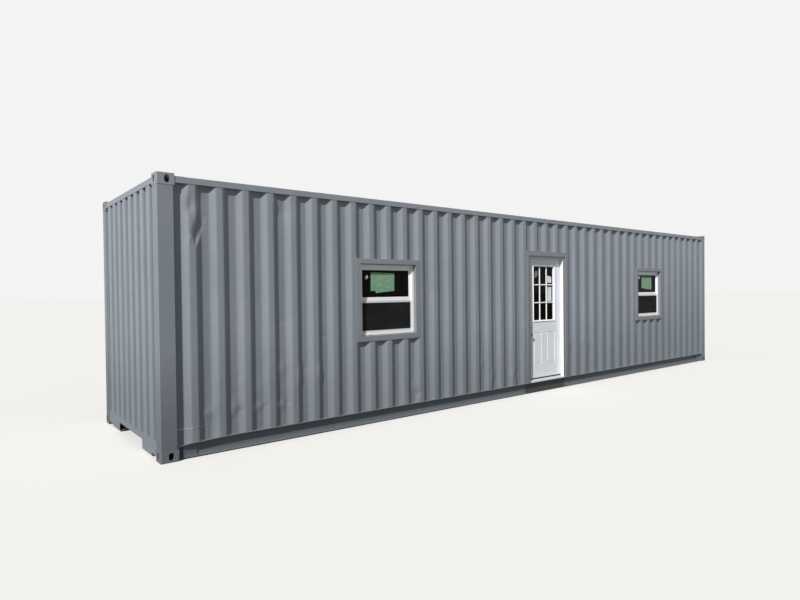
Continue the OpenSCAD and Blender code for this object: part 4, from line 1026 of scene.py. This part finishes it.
def flat_sheet(name, corners, y, thick, look, slot, body="cabin", curl=0.0):
    """Thin sheet with the given (x, z) corners in front of a pane, its free corners a little off it."""
    shape = bmesh.new()
    front = [shape.verts.new((x, y - thick - curl * (i % 2), z)) for i, (x, z) in enumerate(corners)]
    back = [shape.verts.new((x, y - curl * (i % 2) * 0.6, z)) for i, (x, z) in enumerate(corners)]
    shape.faces.new(front[::-1])
    shape.faces.new(back)
    bridge(shape, [front, back])
    bmesh.ops.recalc_face_normals(shape, faces=shape.faces)
    bmesh.ops.triangulate(shape, faces=[f for f in shape.faces if len(f.verts) > 4])
    new_piece(name, shape, look, slot, body=body)


def make_window_details(number):
    """Seals, screen clips, weep covers, corner seams and locks of one window."""
    name = f"window_{number}_"
    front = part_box(name + "frame")[0].y
    sash_low, sash_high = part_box(name + "sashes")
    screen_low, screen_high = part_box(name + "screen")
    left, right = sash_low.x - SASH_INSET, sash_high.x + SASH_INSET
    bottom, top = sash_low.z - SASH_INSET, sash_high.z + SASH_INSET

    # Sealant in the gap between unit and surround
    shape = bmesh.new()
    ring = rectangle(left - 0.0015, right + 0.0015, bottom - 0.0015, top + 0.0015, front + 0.0025)
    add_tube(shape, around(ring + ring[:1], (40, 40, 40, 40))[:-1], 0.0038, closed=True, wobble=0.35)
    new_piece(name + "sealant", shape, "sealant", "white_vinyl", smooth=60)

    # Raised seams of the welded vinyl corners, weep covers and lock on the meeting bar
    shape = bmesh.new()
    for x, way_x in ((left, 1), (right, -1)):
        for z, way_z in ((bottom, 1), (top, -1)):
            ends = [(x + way_x * far, front, z + way_z * far) for far in (0.002, 0.028)]
            add_tube(shape, straight(*ends, 2), 0.0007)
    for x in (left + WEEP_IN, right - WEEP_IN):
        add_blocks(shape, (x, front, bottom), [
            (-0.019, 0.019, -0.003, 0.001, 0.008, 0.017, 0.0012),
            (-0.017, 0.017, -0.0042, -0.002, 0.009, 0.0115, 0.0008)])
    back = sash_high.y
    middle = (left + right) / 2
    bar = screen_high.z + LOCK_RISE
    add_blocks(shape, (middle, back, bar), [
        (-0.032, 0.032, -0.022, -0.002, 0.0, 0.011, 0.003),
        (-0.004, 0.038, -0.016, -0.006, 0.009, 0.017, 0.003)])
    lift = (sash_low.x + LIFT_IN, back, sash_low.z + 0.022)
    add_block(shape, lift, (sash_high.x - LIFT_IN, back + 0.010, sash_low.z + 0.029), 0.003)
    add_disc_head(shape, (middle - 0.002, back - 0.011, bar + 0.011), (0, 0, 1), 0.009, 0.007)
    for x in (sash_low.x + 0.03, sash_high.x - 0.03):
        add_blocks(shape, (x, back, bar), [(-0.014, 0.014, -0.019, -0.005, 0.0, 0.006, 0.0025)])
    new_piece(name + "fittings", shape, "white_vinyl")

    # Screen: cord round the cloth, corner keys and pull tabs
    shape = bmesh.new()
    face = screen_low.y
    a, b, c, d = inner_ends(screen_low, screen_high, SCREEN_BAR)
    add_tube(shape, rectangle(a, b, c, d, face + 0.0045), 0.0022, closed=True)
    new_piece(name + "screen_cord", shape, "seal_rubber", smooth=60)
    shape = bmesh.new()
    for x0, x1 in ((screen_low.x, a), (b, screen_high.x)):
        for z0, z1 in ((screen_low.z, c), (d, screen_high.z)):
            ends = (x0 + 0.001, face - 0.0008, z0 + 0.001), (x1 - 0.001, face + 0.002, z1 - 0.001)
            add_block(shape, *ends, 0.0006)
    for x in (a + TAB_IN, b - TAB_IN):
        add_blocks(shape, (x, face, c), [(-0.008, 0.008, -0.0035, 0.001, -0.012, -0.006, 0.0010)])
    new_piece(name + "screen_clips", shape, "screen_frame", "screen_mesh")


def make_window_labels():
    """Plain sheets and small tags on the outside of the panes."""
    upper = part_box("window_1_glass")[0].y
    lower = upper + SASH_STEP
    label = (0.0004, "green_sheet", 0.0004)
    tag = (0.0005, "white_sheet", 0.0)
    for name, y, (thick, look, curl), corners in (
            ("window_1_label", upper, label, [
                (-3.455, 1.939), (-3.069, 1.931), (-3.074, 1.698), (-3.374, 1.672), (-3.385, 1.699),
                (-3.459, 1.700)]),
            ("window_1_tag", upper, tag, [
                (-3.549, 1.868), (-3.523, 1.842), (-3.495, 1.884), (-3.521, 1.907)]),
            ("window_1_low_tag", lower, (0.0004, "white_sheet", 0.0), [
                (-3.494, 1.470), (-3.472, 1.454), (-3.454, 1.503), (-3.476, 1.518)]),
            ("window_2_label", upper, label, [
                (3.355, 1.940), (3.754, 1.937), (3.752, 1.674), (3.534, 1.688), (3.353, 1.705)]),
            ("window_2_tag", upper, tag, [(3.212, 1.900), (3.296, 1.896), (3.300, 1.944), (3.216, 1.950)])):
        flat_sheet(name, corners, y - STUCK, thick, look, "white_vinyl", curl=curl)


def make_door_lite():
    """Raised frame and glazing bars of the door: sloped towards the glass outside, flat inside."""
    low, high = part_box("door_lite")
    leaf_low, leaf_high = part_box("door_leaf")
    face, back = leaf_low.y, leaf_high.y
    glass = face + GLASS_BACK
    inner = glass + 2 * PANE + PANE_GAP
    shape = bmesh.new()
    add_mitred_ring(shape, low, high, [
        (0, face + 0.001), (0, face - 0.004), (0.003, face - 0.009), (0.007, face - 0.0108),
        (0.011, face - 0.0095), (LITE_INSET - 0.002, face + 0.011), (LITE_INSET, face + 0.014),
        (LITE_INSET, glass), (LITE_HOLE, glass), (LITE_HOLE, face + 0.001)])
    add_mitred_ring(shape, low, high, [
        (0, back - 0.001), (0, back + 0.007), (0.004, back + 0.0108),
        (LITE_BACK_INSET - 0.004, back + 0.0108), (LITE_BACK_INSET, back + 0.007), (LITE_BACK_INSET, inner),
        (LITE_HOLE, inner), (LITE_HOLE, back - 0.001)])
    x0, x1, z0, z1 = inner_ends(low, high, LITE_INSET)
    wide, slim, front = LITE_BAR / 2, LITE_BAR_FACE / 2, face + LITE_BAR_BACK
    sloped = front + LITE_BAR_SLOPE
    bar = [(-wide, glass), (-wide, sloped), (-slim, front), (slim, front), (wide, sloped), (wide, glass)]
    level_bar = [(a, y + 0.0003) for a, y in bar]
    for k in (1, 2):
        x = x0 + (x1 - x0) * k / 3
        z = z0 + (z1 - z0) * k / 3 - LITE_DROP
        add_prism(shape, bar, lambda a, y: (x + a, y, z0 - 0.002), lambda a, y: (x + a, y, z1 + 0.002))
        add_prism(shape, level_bar, lambda a, y: (x0 - 0.002, y, z + a), lambda a, y: (x1 + 0.002, y, z + a))
        add_block(shape, (x - wide, inner, z0), (x + wide, back + 0.0055, z1), 0.002, 1)
        add_block(shape, (x0, inner, z - wide), (x1, back + 0.0052, z + wide), 0.002, 1)
    lite = new_piece("door_lite_frame", shape, SLOTS["door_lite"], body="entry_door")
    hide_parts("door_lite")


def make_door_panes():
    """Sealed glass of the door: two panes with a spacer between them."""
    low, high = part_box("door_glass")
    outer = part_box("door_leaf")[0].y + GLASS_BACK
    inner = outer + PANE + PANE_GAP
    shape = bmesh.new()
    x0, x1, z0, z1 = inner_ends(low, high, 0.002)
    for y in (outer, inner):
        add_block(shape, (x0, y, z0), (x1, y + PANE, z1), 0.0005, 1)
    panes = new_piece("door_panes", shape, "window_glass", body="entry_door")
    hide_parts("door_glass")
    shape = bmesh.new()
    spacer = rectangle(*inner_ends(low, high, 0.014), (outer + PANE + inner) / 2)
    add_tube(shape, spacer, 0.0016, sides=8, closed=True)
    new_piece("door_spacer", shape, "hinge_steel", body="entry_door")


def make_door_papers():
    """Plain sheets that are stuck to the door's panes."""
    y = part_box("door_leaf")[0].y + GLASS_BACK - STUCK
    for name, thick, look, curl, corners in (
            ("door_smear", 0.0003, "grey_sheet", 0.0, [
                (-0.088, 1.902), (-0.050, 1.893), (0.006, 1.930), (0.012, 2.006), (-0.040, 2.011),
                (-0.070, 1.960)]),
            ("door_paper_high", 0.0004, "white_sheet", 0.0008, [
                (0.269, 1.810), (0.386, 1.808), (0.384, 1.905), (0.350, 1.921), (0.268, 1.929)]),
            ("door_paper", 0.0004, "white_sheet", 0.0010, [
                (0.271, 1.494), (0.386, 1.498), (0.385, 1.738), (0.270, 1.736)])):
        flat_sheet(name, corners, y, thick, look, "white_paint", body="entry_door", curl=curl)


def make_door_details():
    """Seals, screws, plates and the sweep of the entry door, and what belongs to its frame."""
    leaf_low, leaf_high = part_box("door_leaf")
    frame_low, frame_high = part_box("entry_frame")
    sill_low, sill_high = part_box("entry_threshold")
    lite_low, lite_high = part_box("door_lite")
    face, back = leaf_low.y, leaf_high.y
    mid = (face + back) / 2

    # Black sweep on the leaf's lower edge
    shape = bmesh.new()
    x0, x1 = leaf_low.x + 0.004, leaf_high.x - 0.004
    add_block(shape, (x0, face - 0.0035, leaf_low.z - 0.004), (x1, face + 0.001, leaf_low.z + 0.017), 0.0012)
    for k in range(3):
        y = face + 0.010 + 0.011 * k
        add_block(shape, (x0, y, leaf_low.z - 0.003), (x1, y + 0.0025, leaf_low.z + 0.001), 0.0008)
    new_piece("door_sweep", shape, "seal_rubber", body="entry_door")

    # Foam seal in the frame's corner, beside the leaf's outer face
    shape = bmesh.new()
    y = face - 0.0052
    x0, x1 = leaf_low.x - 0.0010, leaf_high.x + 0.0010
    z0, z1 = sill_high.z + 0.004, leaf_high.z + 0.0010
    add_tube(shape, [(x0, y, z0), (x0, y, z1), (x1, y, z1), (x1, y, z0)], 0.0040, sides=8)
    new_piece("frame_seal", shape, "seal_rubber", smooth=60)

    # Latch and bolt plates on the leaf's edge, with the ends of latch and bolt
    shape = bmesh.new()
    edge = leaf_low.x
    for z in LOCK_HEIGHTS:
        add_blocks(shape, (edge, mid, z), [
            (-0.0009, 0.001, -0.0125, 0.0125, -LOCK_PLATE, LOCK_PLATE, 0.0006),
            (-0.0034, 0.0, -0.0075, 0.0075, -0.010, 0.010, 0.0016)])
        for rise in LOCK_SCREWS:
            add_disc_head(shape, (edge - 0.0009, mid, z + rise), (-1, 0, 0), 0.0038, 0.0010)
    new_piece("latch_plates", shape, "hinge_steel", body="entry_door")

    # Strike plates let into the frame
    shape = bmesh.new()
    jamb = leaf_low.x - 0.005
    sides = (
        (-0.016, 0.016, -LOCK_PLATE, -0.013), (-0.016, 0.016, 0.013, LOCK_PLATE),
        (-0.016, -0.010, -LOCK_PLATE, LOCK_PLATE), (0.010, 0.022, -LOCK_PLATE, LOCK_PLATE))
    for z in LOCK_HEIGHTS:
        add_blocks(shape, (jamb, mid, z), [(-0.001, 0.0006, *ends, 0.0005) for ends in sides])
        for rise in LOCK_SCREWS:
            add_disc_head(shape, (jamb + 0.0005, mid, z + rise), (1, 0, 0), 0.0036, 0.0009)
    new_piece("strike_plates", shape, "hinge_steel")

    # Key slot of the deadbolt
    shape = bmesh.new()
    slot_at = (KEY_SLOT[0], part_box("door_lockset")[0].y, KEY_SLOT[1])
    add_blocks(shape, slot_at, [(-0.0006, 0.0006, -0.0004, 0.002, -0.0045, 0.0045, 0.0002)])
    new_piece("key_slot", shape, "seal_rubber", body="entry_door")

    # Plugs in the inner ring round the panes
    shape = bmesh.new()
    x0, x1, z0, z1 = inner_ends(lite_low, lite_high, 0.017)
    spots = [(x0 + (x1 - x0) * s, z) for s in (0.12, 0.5, 0.88) for z in (z0, z1)]
    spots += [(x, z0 + (z1 - z0) * s) for s in (0.08, 0.36, 0.64, 0.92) for x in (x0, x1)]
    for x, z in spots:
        add_disc_head(shape, (x, lite_high.y - 0.0002, z), (0, 1, 0), 0.0045, 0.0009)
    new_piece("lite_plugs", shape, "white_paint", body="entry_door")

    # Ribs of the sill, and the sealant in front of the frame
    shape = bmesh.new()
    x0, x1, z = sill_low.x + 0.012, sill_high.x - 0.012, sill_high.z
    depth = sill_high.y - sill_low.y
    for k in range(9):
        y = sill_low.y + 0.014 + k * (depth * 0.55 - 0.02) / 8
        add_block(shape, (x0, y, z - 0.001), (x1, y + 0.003, z + 0.001), 0.0004, 1)
    new_piece("sill_ribs", shape, "threshold_aluminium")
    shape = bmesh.new()
    x0, x1, z0, z1 = frame_low.x, frame_high.x, RAIL_TOP + 0.003, frame_high.z
    y = frame_low.y + 0.004
    path = around([(x0, y, z0), (x0, y, z1), (x1, y, z1), (x1, y, z0)], (60, 30, 60))
    add_tube(shape, path, 0.0034, wobble=0.35)
    new_piece("frame_sealant", shape, "surround_paint", smooth=60)


def make_hinge_screws():
    """Screw heads on the butt hinges' plates on leaf and frame."""
    low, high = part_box("door_hinges")
    first, last = low.z + HINGE_HALF, high.z - HINGE_HALF
    for name, body, x, way in (
            ("leaf_hinge_screws", "entry_door", LEAF_PLATE, 1),
            ("frame_hinge_screws", "cabin", FRAME_PLATE, -1)):
        shape = bmesh.new()
        for z in (first, (first + last) / 2, last):
            for rise, y in HINGE_SCREWS:
                add_disc_head(shape, (x, y, z + rise), (way, 0, 0), 0.0036, 0.0006)
        new_piece(name, shape, "hinge_steel", body=body)


def make_cargo_details():
    """Rivets and bolts of the cargo doors' gear, and lips of their seals."""
    low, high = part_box("cargo_door_left")
    middle = abs((low.y + high.y) / 2)
    rods = [middle + way * ROD_OUT + out for way in (-1, 1) for out in ROD_BOLTS]
    hinges = [abs(low.y) - out for out in CARGO_HINGE_BOLTS]
    shape = bmesh.new()
    for side in (-1, 1):
        for share in CARGO_ROWS:
            z = low.z + share * (high.z - low.z)
            for ys, rises, x, radius, height in (
                    (rods, (-0.012, 0.012), high.x + 0.0048, 0.0042, 0.0030),
                    (hinges, (-0.020, 0.020), high.x + 0.010, 0.0065, 0.0045)):
                for y in ys:
                    for rise in rises:
                        add_disc_head(shape, (x, side * y, z + rise), (1, 0, 0), radius, height, sides=10)
    new_piece("cargo_bolts", shape, "galvanised_steel", smooth=50)

    shape = bmesh.new()
    x, z0, z1 = high.x - 0.003, low.z - 0.004, high.z + 0.004
    for side in (-1, 1):
        y0, y1 = side * (abs(low.y) + 0.004), side * (abs(high.y) - 0.004)
        add_tube(shape, [(x, y0, z0), (x, y1, z0), (x, y1, z1), (x, y0, z1)], 0.0045, sides=8, closed=True)
    new_piece("cargo_seal_lips", shape, "seal_rubber", smooth=60)


def make_floor_screws():
    """Rows of screw heads over the cross members."""
    shape = bmesh.new()
    low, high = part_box("floor_boards")
    x = low.x + FLOOR_FIRST
    shift = 0.0
    while x < high.x - 0.05:
        for k in range(FLOOR_SCREWS):
            y = -FLOOR_WIDTH / 2 + FLOOR_WIDTH * k / (FLOOR_SCREWS - 1) + shift
            add_disc_head(shape, (x, y, high.z - 0.0003), (0, 0, 1), 0.0065, 0.0012, sides=8)
        x += FLOOR_ROW
        shift = 0.02 - shift
    new_piece("floor_screws", shape, "galvanised_steel", smooth=50)


make_wall_welds()
make_frame_welds()
make_patch_weld()
make_roof_welds()
for number in (1, 2):
    make_window_details(number)
make_window_labels()
make_door_lite()
make_door_panes()
make_door_papers()
make_door_details()
make_hinge_screws()
make_cargo_details()
make_floor_screws()


def make_stage():
    """Pale floor that stays pale to the camera and throws little light back."""
    mesh = bpy.data.meshes.new("floor")
    half = FLOOR_SIZE / 2
    corners = [(-half, -half, 0), (half, -half, 0), (half, half, 0), (-half, half, 0)]
    mesh.from_pydata(corners, [], [(0, 1, 2, 3)])
    floor = new_object("floor", mesh)
    look = Look("Floor")
    seen = seen_directly(look.tree, ["Is Transmission Ray"])
    tone = look.mix(seen, (0.21, 0.205, 0.195, 1), (0.80, 0.79, 0.77, 1))
    mesh.materials.append(look.finish(tone, 0.9, specular=0.0))


def make_world():
    """Even sky light, and a plain pale backdrop for camera, gloss and glass."""
    world = bpy.data.worlds.new("Studio")
    bpy.context.scene.world = world
    world.use_nodes = True
    tree = world.node_tree
    sky = tree.nodes["Background"]
    sky.inputs["Color"].default_value = (0.88, 0.94, 1.0, 1)
    sky.inputs["Strength"].default_value = SKY_STRENGTH
    backdrop = add_node(tree, "ShaderNodeBackground", {"Color": (BACKDROP, BACKDROP, BACKDROP, 1)})
    seen = seen_directly(tree, ["Is Transmission Ray", "Is Glossy Ray"])
    mixed = add_node(tree, "ShaderNodeMixShader", {0: seen, 1: sky.outputs[0], 2: backdrop})
    feed(tree, mixed, tree.nodes["World Output"].inputs["Surface"])


def make_sun():
    sun = bpy.data.lights.new("Sun", "SUN")
    sun.energy = SUN_STRENGTH
    sun.angle = SUN_ANGLE
    sun.color = (1.0, 0.985, 0.965)
    new_object("Sun", sun).rotation_euler = SUN_TOWARDS.to_track_quat("Z", "Y").to_euler()


def make_camera():
    """Camera at the photograph's place, turned by its yaw, pitch and roll."""
    right = Vector((math.cos(CAMERA_YAW), math.sin(CAMERA_YAW), 0))
    ahead = Vector((-right.y, right.x, 0)) * math.cos(CAMERA_PITCH)
    ahead.z = math.sin(CAMERA_PITCH)
    up = right.cross(ahead)
    c = math.cos(CAMERA_ROLL)
    s = math.sin(CAMERA_ROLL)
    turned = Matrix((right * c + up * s, up * c - right * s, -ahead)).transposed()
    camera = bpy.data.cameras.new("Camera")
    camera.lens = CAMERA_LENS
    camera.sensor_width = SENSOR_WIDTH
    camera.clip_end = 500
    holder = new_object("Camera", camera)
    holder.matrix_world = Matrix.Translation(CAMERA_AT) @ turned.to_4x4()
    bpy.context.scene.camera = holder


make_stage()
make_world()
make_sun()
make_camera()
bpy.context.scene.view_settings.view_transform = "Standard"
